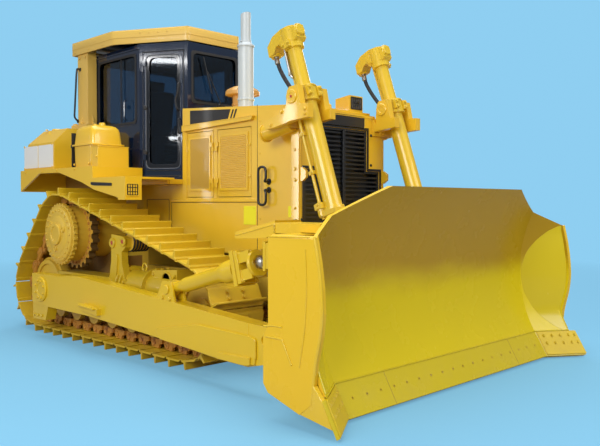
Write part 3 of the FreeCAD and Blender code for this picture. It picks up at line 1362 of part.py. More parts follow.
def make_yoke():
    """Yoke of a lift cylinder: two ears, the cross piece and its tube into the hood's side."""
    outer_in = LIFT_Y + EAR_IN
    inner_in = LIFT_Y - EAR_IN

    def plate(outline, y):
        return slab_y([(TRUNNION_X + x, TRUNNION_Z + z) for x, z in outline], y, y + EAR_T)

    outer = plate(EAR, outer_in)
    inner = plate(EAR, inner_in - EAR_T)
    outer_arm = plate(OUTER_ARM, outer_in)
    face = GUARD_FRONT - TRUNNION_X
    inner_arm = plate([(face, -205), (160, -172), (160, -82), (face, -125)], inner_in - EAR_T)
    low, high = TRUNNION_Z - 240, TRUNNION_Z - 90
    cross = box((TRUNNION_X - 280, GUARD_FRONT), (HOOD_HALF, outer_in), (low, high))
    face_plate = box((GUARD_FRONT, GUARD_FRONT + 25), (inner_in - EAR_T, GUARD_HALF), (low, high))
    tube = rod(V(TRUNNION_X - 478, GUARD_HALF + 40, TRUNNION_Z - 257),
               V(TRUNNION_X - 140, GUARD_HALF + 40, TRUNNION_Z - 190), 75)
    pieces = [outer, inner, outer_arm, inner_arm, cross, face_plate, tube]
    yoke = pieces[0].multiFuse(pieces[1:])
    bore = across(TRUNNION_X, TRUNNION_Z, 0, 1000, TRUNNION_PIN_R + 0.4)
    keep_out = slab_x(guard_outline(GUARD_HALF, GUARD_TOP_HALF, RAIL_TOP, GUARD_SHOULDER, GUARD_TOP),
                      GUARD_REAR, GUARD_FRONT)
    hood_side = box((HOOD_REAR, GUARD_REAR), (-HOOD_HALF, HOOD_HALF), (HOOD_SILL, 2500))
    return yoke.cut(bore).cut(keep_out).cut(hood_side)


for name, side in SIDES:
    keep("lift_barrel_" + name, on_side(side, make_barrel()))
    keep("lift_rod_" + name, on_side(side, make_rod()))
    keep("lift_hose_" + name, on_side(side, make_hose()))
    keep("cylinder_yoke_" + name, on_side(side, make_yoke()))
    nodes["blade"] = nodes["blade"].fuse(on_side(side, make_rod_bracket()))


def export():
    """Write each sub-part to parts/ with X = 0 moved to the middle of the overall length."""
    os.makedirs("parts", exist_ok=True)
    for name, shape in nodes.items():
        moved = shape.copy()
        moved.translate(V(SHIFT_X, 0, 0))
        moved.exportStep(os.path.join("parts", name + ".step"))
        low, high = moved.BoundBox, moved.Volume
        print(f"{name}: {len(moved.Solids)} solid, valid {moved.isValid()}, {high / 1e9:.4f} m3")


if __name__ == "__main__":
    export()
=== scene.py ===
# %% [markdown]
# # A crawler bulldozer
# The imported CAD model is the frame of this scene. It already has the right sizes, so every piece
# below is made in the same place and only adds what the solids lack: separate track shoes, bolts,
# seams, hoses, glass, grilles and real paint. Lengths in the pieces are written in millimetres from
# the middle of the tracks' ground contact, as a maker's drawing would give them.

# %% Load the frame
import itertools
import math

import bmesh
import bpy
from mathutils import Matrix, Vector


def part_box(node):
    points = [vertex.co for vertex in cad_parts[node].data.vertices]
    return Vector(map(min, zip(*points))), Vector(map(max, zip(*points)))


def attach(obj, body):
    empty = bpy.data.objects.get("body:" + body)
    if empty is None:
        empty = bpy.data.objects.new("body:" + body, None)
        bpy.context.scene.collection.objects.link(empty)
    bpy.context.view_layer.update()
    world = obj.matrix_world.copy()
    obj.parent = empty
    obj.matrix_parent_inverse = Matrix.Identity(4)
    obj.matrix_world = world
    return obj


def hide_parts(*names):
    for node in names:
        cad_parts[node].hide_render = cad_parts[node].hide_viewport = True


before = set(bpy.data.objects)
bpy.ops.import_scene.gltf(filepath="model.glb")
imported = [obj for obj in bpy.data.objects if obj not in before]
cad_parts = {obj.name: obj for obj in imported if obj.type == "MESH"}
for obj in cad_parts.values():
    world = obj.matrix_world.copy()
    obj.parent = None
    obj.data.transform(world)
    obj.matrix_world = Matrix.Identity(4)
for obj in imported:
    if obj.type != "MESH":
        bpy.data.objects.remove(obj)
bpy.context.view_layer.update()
MM = 0.001
GUARD_FRONT = 2160.0
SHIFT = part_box("radiator_guard")[1].x / MM - GUARD_FRONT
RIGHT, LEFT = -1, 1
SIDES = (("right", RIGHT), ("left", LEFT))


def place(x, y, z):
    """A point in metres in the row frame, from millimetres on the maker's drawing."""
    return Vector(((x + SHIFT) * MM, y * MM, z * MM))


def link(name, data):
    """A new object in the scene."""
    made = bpy.data.objects.new(name, data)
    bpy.context.scene.collection.objects.link(made)
    return made


# %% [markdown]
# ## Camera
# The photograph was taken from the machine's front right with a short telephoto lens, only a little
# above the blade's top. The camera stands at that place. It looks along a heading and a slight dip
# instead of at a target, so that upright edges stay upright in the picture.

# %% Camera at the photograph's place
CAMERA_AT = (6535.5, -4972.2, 1434.1)
HEADING, DIP = 44.78, 1.49
PHOTO_WIDTH, FOCAL_PIXELS, SENSOR = 600.0, 726.67, 36.0

camera_data = bpy.data.cameras.new("photo_camera")
camera_data.sensor_width = SENSOR
camera_data.lens = SENSOR * FOCAL_PIXELS / PHOTO_WIDTH
camera_data.clip_end = 100.0
camera = link("photo_camera", camera_data)
camera.location = place(*CAMERA_AT)
camera.rotation_euler = (math.radians(90 - DIP), 0, math.radians(HEADING))
bpy.context.scene.camera = camera
print("lens in millimetres:", round(camera_data.lens, 1))

# %% [markdown]
# ## Short ways to write node trees
# A shader is a tree of nodes. These functions make one node each, with its inputs filled by numbers
# or fed by the results of other nodes, so that a material reads like a sum.

# %% Node helpers
PAINT = {}


def new_surface(name):
    """The empty node tree of a new material, which is kept in PAINT under its name."""
    material = PAINT[name] = bpy.data.materials.new(name)
    material.use_nodes = True
    material.node_tree.nodes.clear()
    return material.node_tree


def node(tree, kind, inputs=(), **settings):
    """A node with its settings, whose inputs are values or the sockets that feed them."""
    made = tree.nodes.new(kind)
    for key, value in settings.items():
        setattr(made, key, value)
    for key, value in dict(inputs).items():
        if isinstance(value, bpy.types.NodeSocket):
            tree.links.new(value, made.inputs[key])
        elif value is not None:
            made.inputs[key].default_value = value
    return made


def maths(tree, operation, first, second=0.0, third=0.0, clamp=False):
    """The result of one sum on values or sockets."""
    return node(tree, "ShaderNodeMath", {0: first, 1: second, 2: third},
                operation=operation, use_clamp=clamp).outputs[0]


def blend_colour(tree, factor, first, second):
    """A mix of two colours."""
    return node(tree, "ShaderNodeMix", {0: factor, 6: first, 7: second}, data_type="RGBA").outputs[2]


def blend_shaders(tree, factor, first, second):
    """A mix of two shaders."""
    return node(tree, "ShaderNodeMixShader", {0: factor, 1: first, 2: second}).outputs[0]


def ramp(tree, value, low, high):
    """0 below low, 1 above high and smooth between."""
    return node(tree, "ShaderNodeMapRange", {"Value": value, "From Min": low, "From Max": high},
                interpolation_type="SMOOTHSTEP").outputs[0]


def where(tree, kind="Object"):
    """The piece's own coordinates, or its surface's direction with kind Normal."""
    return node(tree, "ShaderNodeTexCoord").outputs[kind]


def parts(tree, vector):
    """The X, Y and Z of a vector."""
    return node(tree, "ShaderNodeSeparateXYZ", {0: vector}).outputs


def patches(tree, scale, detail=2.0, rough=0.5, stretch=None):
    """Noise in the piece's own coordinates, which stays on the piece when it moves."""
    spot = where(tree)
    if stretch:
        spot = node(tree, "ShaderNodeMapping", {"Vector": spot, "Scale": stretch}).outputs[0]
    return node(tree, "ShaderNodeTexNoise",
                {"Vector": spot, "Scale": scale, "Detail": detail, "Roughness": rough}).outputs["Fac"]


def bumped(tree, strength, distance, height, normal=None):
    """The surface's direction, tilted by a height."""
    return node(tree, "ShaderNodeBump", {"Strength": strength, "Distance": distance, "Height": height,
                                         "Normal": normal}).outputs[0]


def grouped(tree, group, **inputs):
    """The results of a node group; an underscore in an input's name stands for a space."""
    inputs = {key.replace("_", " "): value for key, value in inputs.items()}
    return node(tree, "ShaderNodeGroup", inputs, node_tree=group).outputs


print("node helpers are ready")

# %% [markdown]
# ## Floor, backdrop and light
# The machine stands on a plain pale floor. One wide soft light hangs overhead, as in a show hall,
# with a soft box at the camera's right and a weaker one on the far side. The backdrop's pale blue is
# seen only by the camera and through glass, so it doesn't tint the yellow.

# %% Floor, backdrop and lamps
BACKDROP = {"Color": (0.275, 0.62, 0.88, 1), "Strength": 1.0}
FILL = {"Color": (0.93, 0.96, 1.0, 1), "Strength": 0.24}
FLOOR_BOUNCE, FLOOR_SEEN = (0.36, 0.36, 0.34, 1), (0.20, 0.46, 0.65, 1)
FADE = {"From Min": 3.5, "From Max": 13.0, "To Min": 0.45, "To Max": 1.0}  # metres, backdrop's share
FLOOR_HALF, FLOOR_Z = 60.0, -0.002

tree = new_surface("studio_floor")
rays = node(tree, "ShaderNodeLightPath").outputs
seen = blend_colour(tree, rays["Is Camera Ray"], FLOOR_BOUNCE, FLOOR_SEEN)
matt = node(tree, "ShaderNodeBsdfDiffuse", {"Color": seen}).outputs[0]
glow = node(tree, "ShaderNodeEmission", BACKDROP).outputs[0]
reach = node(tree, "ShaderNodeVectorMath", {0: where(tree)}, operation="LENGTH").outputs["Value"]
fade = node(tree, "ShaderNodeMapRange", {"Value": reach, **FADE}).outputs["Result"]
share = maths(tree, "MULTIPLY", rays["Is Camera Ray"], fade)
node(tree, "ShaderNodeOutputMaterial", {"Surface": blend_shaders(tree, share, matt, glow)})

floor_mesh = bpy.data.meshes.new("studio_floor")
floor_corners = [(x * FLOOR_HALF, y * FLOOR_HALF, FLOOR_Z) for x, y in ((-1, -1), (1, -1), (1, 1), (-1, 1))]
floor_mesh.from_pydata(floor_corners, [], [(0, 1, 2, 3)])
floor_mesh.materials.append(PAINT["studio_floor"])
link("studio_floor", floor_mesh)

world = bpy.context.scene.world = bpy.data.worlds.new("studio")
world.use_nodes = True
tree = world.node_tree
tree.nodes.clear()
rays = node(tree, "ShaderNodeLightPath").outputs
sky, fill = (node(tree, "ShaderNodeBackground", light).outputs[0] for light in (BACKDROP, FILL))
seen = maths(tree, "MAXIMUM", rays["Is Camera Ray"], rays["Is Transmission Ray"])
node(tree, "ShaderNodeOutputWorld", {"Surface": blend_shaders(tree, seen, fill, sky)})

LAMPS = (  # name, place, aim, width, height, watts
    ("overhead", (0.0, 0.0, 9.0), (0.0, 0.0, 0.0), 11.0, 8.0, 900),
    ("front_right", (4.0, -9.0, 4.5), (0.4, -0.5, 1.3), 5.0, 3.5, 520),
    ("front", (9.5, 1.0, 5.0), (1.5, 0.0, 1.2), 6.0, 3.0, 290),
    ("far_side", (-5.0, 8.0, 5.0), (0.0, 0.0, 1.2), 6.0, 4.0, 330),
    ("upright_strip", (-7.0, -9.0, 2.4), (1.0, -0.5, 1.8), 0.30, 3.0, 46),
    ("tall_strip", (-8.8, -7.3, 3.0), (1.2, -0.5, 1.8), 0.16, 3.6, 20),
    ("level_strip_high", (0.1, -9.0, 4.6), (0.0, -0.6, 2.6), 2.2, 0.10, 18),
    ("level_strip_low", (0.4, -9.0, 2.9), (0.0, -0.6, 2.4), 1.6, 0.07, 9),
)
for name, at, aim, width, height, watts in LAMPS:
    soft_box = bpy.data.lights.new(name, "AREA")
    soft_box.shape = "RECTANGLE"
    soft_box.size, soft_box.size_y = width, height
    soft_box.energy = watts
    lamp = link(name, soft_box)
    lamp.location = at
    lamp.rotation_euler = (Vector(aim) - Vector(at)).to_track_quat("-Z", "Y").to_euler()
bpy.context.scene.view_settings.view_transform = "Standard"
print("lamps:", [lamp[0] for lamp in LAMPS])

# %% [markdown]
# ## Paint, rust and plate patterns as node groups
# Thick enamel on heavy plate is never one colour. It has an orange-peel skin, slow patches where the
# sprayer passed, dust that settles on upward faces and near the ground, and thinner paint along
# edges. Each effect is a node group with named inputs, built once, so that every paint on the
# machine shares it with its own values.

# %% Enamel
FLOAT, COLOUR, VECTOR = "NodeSocketFloat", "NodeSocketColor", "NodeSocketVector"
BROWN_DUST = (0.42, 0.30, 0.16, 1)


def new_group(name, inputs, outputs):
    """An empty node group with named sockets, what its inputs give, and its output node's inputs."""
    group = bpy.data.node_groups.new(name, "ShaderNodeTree")
    for socket, kind, value in inputs:
        group.interface.new_socket(socket, in_out="INPUT", socket_type=kind).default_value = value
    for socket, kind in outputs:
        group.interface.new_socket(socket, in_out="OUTPUT", socket_type=kind)
    return group, group.nodes.new("NodeGroupInput").outputs, group.nodes.new("NodeGroupOutput").inputs


tree, given, result = new_group(
    "sprayed_enamel",
    (("Colour", COLOUR, (0.8, 0.5, 0.05, 1)), ("Mottle", FLOAT, 0.06), ("Roughness", FLOAT, 0.3),
     ("Peel", FLOAT, 0.1), ("Dust", FLOAT, 0.2), ("Dust Height", FLOAT, 0.6),
     ("Dust Colour", COLOUR, BROWN_DUST), ("Edge Wear", FLOAT, 0.3), ("Edge Radius", FLOAT, 0.004)),
    (("Colour", COLOUR), ("Roughness", FLOAT), ("Normal", VECTOR)))
enamel_group = tree
brighter = maths(tree, "MULTIPLY_ADD", maths(tree, "SUBTRACT", patches(tree, 1.3, 3.0), 0.5),
                 given["Mottle"], 1.0)
tone = node(tree, "ShaderNodeHueSaturation", {"Value": brighter, "Color": given["Colour"]}).outputs[0]
rounded = node(tree, "ShaderNodeBevel", {"Radius": given["Edge Radius"]}, samples=4).outputs[0]
facing = node(tree, "ShaderNodeNewGeometry").outputs["Normal"]
flat = node(tree, "ShaderNodeVectorMath", {0: rounded, 1: facing}, operation="DOT_PRODUCT").outputs["Value"]
edge = maths(tree, "MULTIPLY", ramp(tree, maths(tree, "SUBTRACT", 1.0, flat), 0.02, 0.20),
             ramp(tree, patches(tree, 14.0, 4.0, 0.65), 0.42, 0.62))
edge = maths(tree, "MULTIPLY", edge, given["Edge Wear"])
pale = node(tree, "ShaderNodeHueSaturation", {"Saturation": 0.72, "Value": 1.25, "Color": tone}).outputs[0]
tone = blend_colour(tree, edge, tone, pale)
low = maths(tree, "SUBTRACT", 1.0, ramp(tree, parts(tree, where(tree))[2], 0.0, given["Dust Height"]))
upward = ramp(tree, parts(tree, facing)[2], 0.55, 1.0)
settled = maths(tree, "MAXIMUM", low, maths(tree, "MULTIPLY", upward, 0.2))
dust = maths(tree, "MULTIPLY", settled, ramp(tree, patches(tree, 5.5, 5.0, 0.62), 0.36, 0.70))
dust = maths(tree, "MULTIPLY", dust, given["Dust"], clamp=True)
gloss = maths(tree, "MULTIPLY_ADD", maths(tree, "SUBTRACT", patches(tree, 3.0, 4.0), 0.5), 0.12,
              given["Roughness"])
for key, socket in (("Colour", blend_colour(tree, dust, tone, given["Dust Colour"])),
                    ("Roughness", maths(tree, "MULTIPLY_ADD", dust, 0.5, gloss, clamp=True)),
                    ("Normal", bumped(tree, given["Peel"], 0.0015, patches(tree, 60.0, 2.0), rounded))):
    tree.links.new(socket, result[key])

# %% Rust
tree, given, result = new_group(
    "rust_film",
    (("Colour", COLOUR, (0.6, 0.4, 0.1, 1)), ("Roughness", FLOAT, 0.5), ("Amount", FLOAT, 0.5),
     ("Rust Colour", COLOUR, (0.23, 0.085, 0.03, 1))),
    (("Colour", COLOUR), ("Roughness", FLOAT), ("Height", FLOAT)))
rust_group = tree
clean = maths(tree, "MULTIPLY_ADD", maths(tree, "SUBTRACT", 1.0, given["Amount"]), 0.5, 0.20)
film = ramp(tree, maths(tree, "SUBTRACT", patches(tree, 9.0, 6.0, 0.7), clean), 0.0, 0.14)
deep = blend_colour(tree, patches(tree, 40.0, 4.0), given["Rust Colour"], (0.40, 0.17, 0.055, 1))
for key, socket in (("Colour", blend_colour(tree, film, given["Colour"], deep)),
                    ("Roughness", maths(tree, "MULTIPLY_ADD", film, 0.35, given["Roughness"], clamp=True)),
                    ("Height", maths(tree, "MULTIPLY", film, patches(tree, 120.0, 3.0)))):
    tree.links.new(socket, result[key])

# %% Perforated plate
tree, given, result = new_group(
    "perforated_plate", (("Pitch", FLOAT, 0.012), ("Hole", FLOAT, 0.34)),
    (("Mask", FLOAT), ("Height", FLOAT)))
perforated_group = tree
across, _, upright = (maths(tree, "DIVIDE", part, given["Pitch"]) for part in parts(tree, where(tree)))
holes = []
for offset in (0.0, 0.5):
    u, v = (maths(tree, "SUBTRACT", maths(tree, "FRACT", maths(tree, "ADD", part, offset)), 0.5)
            for part in (across, upright))
    away = maths(tree, "SQRT", maths(tree, "MULTIPLY_ADD", u, u, maths(tree, "MULTIPLY", v, v)))
    holes.append(ramp(tree, maths(tree, "SUBTRACT", given["Hole"], away), -0.04, 0.04))
mask = maths(tree, "MAXIMUM", *holes)
tree.links.new(mask, result["Mask"])
tree.links.new(maths(tree, "SUBTRACT", 1.0, mask), result["Height"])
print("node groups:", [g.name for g in (enamel_group, rust_group, perforated_group)])

# %% [markdown]
# ## Finishes
# Most of the machine is sprayed with one orange-yellow enamel under clear gloss. The blade, its arms
# and the track shoes have a greener, thinner yellow. Castings are duller. Each finish is a
# Principled shader with the enamel group in front of it, and steady numbers such as coat roughness
# stand on the shader itself, where an export can read them.

# %% Paints


def principled(tree, colour, roughness, normal=None, **steady):
    """A Principled shader as the material's surface; steady values stand on its own sockets."""
    steady = {key.replace("_", " ").title().replace("Ior", "IOR"): value for key, value in steady.items()}
    shader = node(tree, "ShaderNodeBsdfPrincipled",
                  {"Base Color": colour, "Roughness": roughness, "Normal": normal, **steady})
    node(tree, "ShaderNodeOutputMaterial", {"Surface": shader.outputs[0]})


def enamel(name, colour, roughness=0.30, coat=0.5, rust=0.0, mottle=0.10, dust=0.25, dust_height=0.7,
           dust_colour=BROWN_DUST, wear=0.35, peel=0.08):
    """A sprayed enamel, with a film of rust over it where it is asked for."""
    tree = new_surface(name)
    skin = grouped(tree, enamel_group, Colour=(*colour, 1), Mottle=mottle, Roughness=roughness, Peel=peel,
                   Dust=dust, Dust_Height=dust_height, Dust_Colour=dust_colour, Edge_Wear=wear)
    tone, gloss, normal = skin
    if rust:
        tone, gloss, height = grouped(tree, rust_group, Colour=tone, Roughness=gloss, Amount=rust)
        normal = bumped(tree, 0.4, 0.002, height, normal)
    principled(tree, tone, gloss, normal, coat_weight=coat, coat_roughness=0.06)


enamel("body_yellow", (0.80, 0.495, 0.022), 0.30, 0.6, dust=0.05)
enamel("sill_yellow", (0.78, 0.49, 0.014), 0.36, 0.4, dust=0.14, dust_height=1.6)
enamel("roof_tan", (0.68, 0.44, 0.085), 0.40, 0.25, dust=0.10)
enamel("blade_yellow", (0.64, 0.50, 0.010), 0.26, 0.10, mottle=0.06, dust=0.08, dust_height=0.35)
enamel("side_plate_yellow", (0.76, 0.51, 0.018), 0.24, 0.6, dust=0.08)
enamel("arm_yellow", (0.72, 0.48, 0.008), 0.34, 0.35, dust=0.06, dust_height=0.6, wear=0.6)
enamel("cylinder_yellow", (0.70, 0.47, 0.020), 0.32, 0.35, dust=0.06)
enamel("casting_yellow", (0.70, 0.46, 0.040), 0.42, 0.2, mottle=0.25, dust=0.12, dust_height=1.2,
       wear=0.6, peel=0.35)
enamel("frame_yellow", (0.66, 0.46, 0.014), 0.38, 0.3, mottle=0.2, dust=0.15, dust_height=1.1)
enamel("shoe_yellow", (0.64, 0.43, 0.010), 0.46, 0.12, rust=0.12, mottle=0.3, dust=0.35,
       dust_height=1.8, dust_colour=(0.34, 0.19, 0.05, 1), wear=0.7)
enamel("link_rust", (0.58, 0.27, 0.035), 0.55, 0.0, rust=0.40, mottle=0.4, dust=0.25, dust_height=1.6,
       dust_colour=(0.30, 0.14, 0.035, 1), wear=0.5)
enamel("cab_navy", (0.003, 0.012, 0.036), 0.10, 0.9, mottle=0.3, dust=0.02, wear=0.15)
enamel("trim_black", (0.012, 0.012, 0.014), 0.42, 0.1, mottle=0.3, dust=0.12, wear=0.3)
enamel("grille_black", (0.006, 0.008, 0.012), 0.34, 0.3, mottle=0.3, dust=0.06, wear=0.3)
enamel("engine_gold", (0.30, 0.20, 0.04), 0.6, 0.0, mottle=0.4, dust=0.5, dust_height=1.5, peel=0.5)
enamel("bit_yellow", (0.66, 0.47, 0.008), 0.5, 0.0, dust=0.2, dust_height=0.3, wear=0.8)
enamel("louvre_yellow", (0.74, 0.46, 0.08), 0.42, 0.2, dust=0.05, wear=0.5)
enamel("inner_brown", (0.30, 0.16, 0.022), 0.55, 0.0, mottle=0.4, dust=0.4, dust_height=1.4)
enamel("stack_silver", (0.50, 0.55, 0.57), 0.36, 0.1, mottle=0.12, dust=0.05, wear=0.2)
enamel("cap_orange", (0.58, 0.32, 0.08), 0.45, 0.2, dust=0.2)
enamel("label_yellow", (0.84, 0.78, 0.01), 0.45, 0.0, mottle=0.03, dust=0.02)
enamel("panel_white", (0.80, 0.80, 0.78), 0.35, 0.3, mottle=0.03, dust=0.04)
enamel("boss_red", (0.45, 0.07, 0.04), 0.5, 0.1)
enamel("glass_border", (0.003, 0.005, 0.010), 0.10, 1.0, mottle=0.05, dust=0.05)
enamel("seal_grey", (0.10, 0.11, 0.13), 0.30, 0.5, mottle=0.05, dust=0.05)
print("paints:", len(PAINT))

# %% Metal, rubber, glass and lamp glass
SKIN_DEPTH = 0.0006


def two_tones(tree, factor, colour, scale, lift=0.0):
    """A colour that drifts to a scaled one."""
    return blend_colour(tree, factor, (*colour, 1), (*[c * scale + lift for c in colour], 1))


def plain_metal(name, colour, roughness):
    """Bare metal with fine scratches along it."""
    tree = new_surface(name)
    scratch = patches(tree, 140.0, 4.0, 0.7, (1, 1, 12))
    rough = maths(tree, "MULTIPLY_ADD", scratch, 0.16, roughness - 0.08, clamp=True)
    principled(tree, two_tones(tree, patches(tree, 6.0, 3.0), colour, 0.82), rough,
               bumped(tree, 0.15, SKIN_DEPTH, scratch), metallic=1.0)


def soft_black(name, colour, roughness, grain=260.0, bump=0.3):
    """Rubber or moulded plastic with a fine skin."""
    tree = new_surface(name)
    rough = maths(tree, "MULTIPLY_ADD", patches(tree, 20.0, 2.0), 0.15, roughness - 0.07, clamp=True)
    principled(tree, two_tones(tree, patches(tree, 5.0, 3.0), colour, 1.5, 0.004), rough,
               bumped(tree, bump, SKIN_DEPTH, patches(tree, grain, 3.0, 0.6)))


def tinted_glass(name, colour, roughness=0.02):
    """Clear tinted glass with faint smears."""
    tree = new_surface(name)
    smears = patches(tree, 3.5, 5.0, 0.6, (1, 1, 0.3))
    rough = maths(tree, "MULTIPLY_ADD", smears, 0.03, roughness, clamp=True)
    principled(tree, two_tones(tree, smears, colour, 0.92), rough, transmission_weight=1.0, ior=1.45)


plain_metal("rod_chrome", (0.78, 0.79, 0.81), 0.16)
plain_metal("bare_steel", (0.52, 0.50, 0.47), 0.38)
soft_black("hose_rubber", (0.018, 0.018, 0.020), 0.48)
soft_black("seal_rubber", (0.012, 0.012, 0.013), 0.62)
soft_black("seat_cloth", (0.035, 0.036, 0.040), 0.85, 480.0, 0.6)
soft_black("console_plastic", (0.045, 0.045, 0.05), 0.55)
tinted_glass("cab_glass", (0.15, 0.20, 0.26))
tinted_glass("lamp_glass", (0.90, 0.92, 0.94), 0.05)
print("finishes:", len(PAINT))

# %% Door plate with punched holes
tree = new_surface("perforated_yellow")
skin = grouped(tree, enamel_group, Colour=(0.72, 0.43, 0.05, 1), Roughness=0.42, Dust=0.1, Edge_Wear=0.2)
mask, height = grouped(tree, perforated_group, Pitch=0.013, Hole=0.27)
colour = blend_colour(tree, maths(tree, "MULTIPLY", mask, 0.8), skin["Colour"], (0.20, 0.12, 0.03, 1))
principled(tree, colour, skin["Roughness"], bumped(tree, 0.5, 0.002, height, skin["Normal"]),
           coat_weight=0.3, coat_roughness=0.1)

# %% Sprocket teeth with bright faces and greasy flanks
tree = new_surface("sprocket_steel")
skin = grouped(tree, enamel_group, Colour=(0.60, 0.34, 0.035, 1), Roughness=0.5, Mottle=0.3, Dust=0.4,
               Dust_Height=1.6, Edge_Wear=0.8)
sideways = maths(tree, "ABSOLUTE", parts(tree, where(tree, "Normal"))[1])
flank = maths(tree, "SUBTRACT", 1.0, ramp(tree, sideways, 0.55, 0.75))
grease = blend_colour(tree, patches(tree, 22.0, 4.0), (0.030, 0.016, 0.008, 1), (0.10, 0.05, 0.018, 1))
colour = blend_colour(tree, maths(tree, "MULTIPLY", flank, 0.9), skin["Colour"], grease)
principled(tree, colour, skin["Roughness"], skin["Normal"])

# %% Blade paint
# The moldboard's worked face is a greener, glossier yellow than the plates round it. The two meet at
# the blade's edges, so the paint goes by which way a surface faces and how far out it lies. Towards
# its top the worked face is painted darker and browner in uneven patches: painted shade, where its
# forward curl faces down.
PLATE_TONE, FACE_TONE = (0.78, 0.50, 0.022, 1), (0.72, 0.56, 0.008, 1)
# painted shade: the darker brown that the worked face turns to towards its top
TOP_SHADE_TONE = (0.38, 0.205, 0.004, 1)
FACE_HALF = 1.693

tree = new_surface("blade_two_tone")
plates, face = (grouped(tree, enamel_group, Colour=colour, Mottle=mottle, Roughness=0.27, Dust=0.08,
                        Dust_Height=0.35, Edge_Wear=0.3, Peel=0.02)
                for colour, mottle in ((PLATE_TONE, 0.08), (FACE_TONE, 0.05)))
_, aside, high = parts(tree, where(tree))
ahead, outward, _ = parts(tree, where(tree, "Normal"))
facing_in = maths(tree, "MULTIPLY", outward, maths(tree, "SIGN", aside))
worked = maths(tree, "MAXIMUM", ramp(tree, ahead, 0.30, 0.34), maths(tree, "LESS_THAN", facing_in, -0.8))
front_face = maths(tree, "MULTIPLY", worked,
                   maths(tree, "LESS_THAN", maths(tree, "ABSOLUTE", aside), FACE_HALF))
# painted shade: the worked face darkens towards its top in uneven patches, and film is its colour with that
# painted shade
top_shade = ramp(tree, maths(tree, "MULTIPLY_ADD", patches(tree, 1.1, 4.0, 0.6, (1, 1, 2.2)), 0.3, high),
            0.84, 1.14)
film = blend_colour(tree, maths(tree, "MULTIPLY", top_shade, 0.85), face["Colour"], TOP_SHADE_TONE)
principled(tree, blend_colour(tree, front_face, plates["Colour"], film), plates["Roughness"],
           plates["Normal"], coat_weight=0.05, coat_roughness=0.06, specular_ior_level=0.3)

# %% [markdown]
# ## The solids that stay
# A solid whose shape is already right keeps its mesh and only changes its material. The paint's
# rounded-edge normals give each plate a soft highlight along its edges, with no change of shape.

# %% Paint the CAD nodes
FINISH_OF_NODE = {  # SIDE stands for right and left
    "body_yellow": ("hood", "lamp_boxes", "radiator_guard", "hydraulic_tank", "battery_box", "fuel_tank",
                    "engine_door_rear_SIDE", "engine_door_front_SIDE", "cylinder_yoke_SIDE"),
    "sill_yellow": ("side_skirts", "fender_SIDE", "platform"),
    "roof_tan": ("rops_roof", "rops_frame"),
    "cap_orange": ("air_precleaner",),
    "blade_two_tone": ("blade",),
    "blade_yellow": ("cutting_edge",),
    "arm_yellow": ("push_arm_SIDE", "tilt_brace", "tilt_cylinder"),
    "cylinder_yellow": ("lift_barrel_SIDE",),
    "rod_chrome": ("lift_rod_SIDE",),
    "hose_rubber": ("lift_hose_SIDE",),
    "casting_yellow": ("final_drive_SIDE", "idlers_SIDE", "track_rollers_SIDE", "main_frame", "equalizer_bar"),
    "frame_yellow": ("track_frame_SIDE", "belly_guard", "drawbar"),
    "sprocket_steel": ("sprocket_SIDE",),
    "shoe_yellow": ("track_SIDE",),
    "cab_navy": ("cab_shell", "cab_door_SIDE"),
    "cab_glass": ("cab_glass", "cab_door_glass_SIDE"),
    "grille_black": ("radiator_grille", "radiator_core"),
    "engine_gold": ("engine_block",),
    "stack_silver": ("exhaust_stack",),
    "console_plastic": ("dash_console", "operator_seat"),
}
painted = set()
for paint, names in FINISH_OF_NODE.items():
    for name in sorted({name.replace("SIDE", side_name) for name in names for side_name, side in SIDES}):
        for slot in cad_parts[name].material_slots:
            slot.material = PAINT[paint]
        painted.add(name)
print("nodes with no finish:", sorted(set(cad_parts) - painted))

# %% [markdown]
# ## Plate, bar and bolt
# A machine like this is cut plate, turned bar, bent pipe and bolts. These helpers add such forms to a
# mesh in drawing millimetres, with Y counted outwards from the middle. A piece is then a function
# that draws it, under a line that begins with @pair or @one_piece: that line gives its paint, the part
# that it rides on and its sides, and the piece takes the function's name.

# %% Shape helpers
AHEAD, OUT, UP = (1, 0, 0), (0, 1, 0), (0, 0, 1)


def loft(bm, rings, closed=False, first_cap=True):
    """A form through rings of as many points, with capped ends or closed back to its first ring."""
    made = [[bm.verts.new(spot) for spot in ring] for ring in rings]
    for first, second in zip(made, made[1:] + made[:1] if closed else made[1:]):
        for i in range(len(first)):
            j = (i + 1) % len(first)
            bm.faces.new((first[i], first[j], second[j], second[i]))
    if not closed:
        if first_cap:
            bm.faces.new(made[0][::-1])
        bm.faces.new(made[-1])


def slab(bm, axis, outline, low, high):
    """A flat outline across an axis, as thick as from low to high."""
    def spot(a, b, level):
        return {"x": (level, a, b), "y": (a, level, b), "z": (a, b, level)}[axis]
    loft(bm, [[spot(a, b, level) for a, b in outline] for level in (low, high)])


def rect(a0, a1, b0, b1):
    """The four corners of a rectangle."""
    return [(a0, b0), (a1, b0), (a1, b1), (a0, b1)]


def block(bm, x, y, z):
    """A plain block between (low, high) pairs."""
    slab(bm, "z", rect(*x, *y), *z)


def turned(bm, start, direction, profile, sides=24):
    """A lathe-turned form from (distance along, radius) pairs; a ring if it starts and ends in its bore."""
    line = Vector(direction).normalized()
    across_line = line.orthogonal().normalized()
    third = line.cross(across_line)
    rings = []
    for distance, radius in profile:
        centre = Vector(start) + line * distance
        turns = [2 * math.pi * i / sides for i in range(sides)] if radius else [0]
        rings.append([bm.verts.new(centre + across_line * radius * math.cos(t) + third * radius * math.sin(t))
                      for t in turns])
    (d0, r0), (d1, _), (d2, _), (d3, r3) = profile[0], profile[1], profile[-2], profile[-1]
    ring_shaped = r0 == r3 and d0 == d1 and d2 == d3
    for first, second in zip(rings, rings[1:] + rings[:1] if ring_shaped else rings[1:]):
        for i in range(sides):
            j = (i + 1) % sides
            corners = tuple(dict.fromkeys((first[i % len(first)], first[j % len(first)],
                                           second[j % len(second)], second[i % len(second)])))
            if len(corners) > 2:
                bm.faces.new(corners)
    for ring in (rings[0], rings[-1]):
        if len(ring) > 2 and not ring_shaped:
            bm.faces.new(ring)


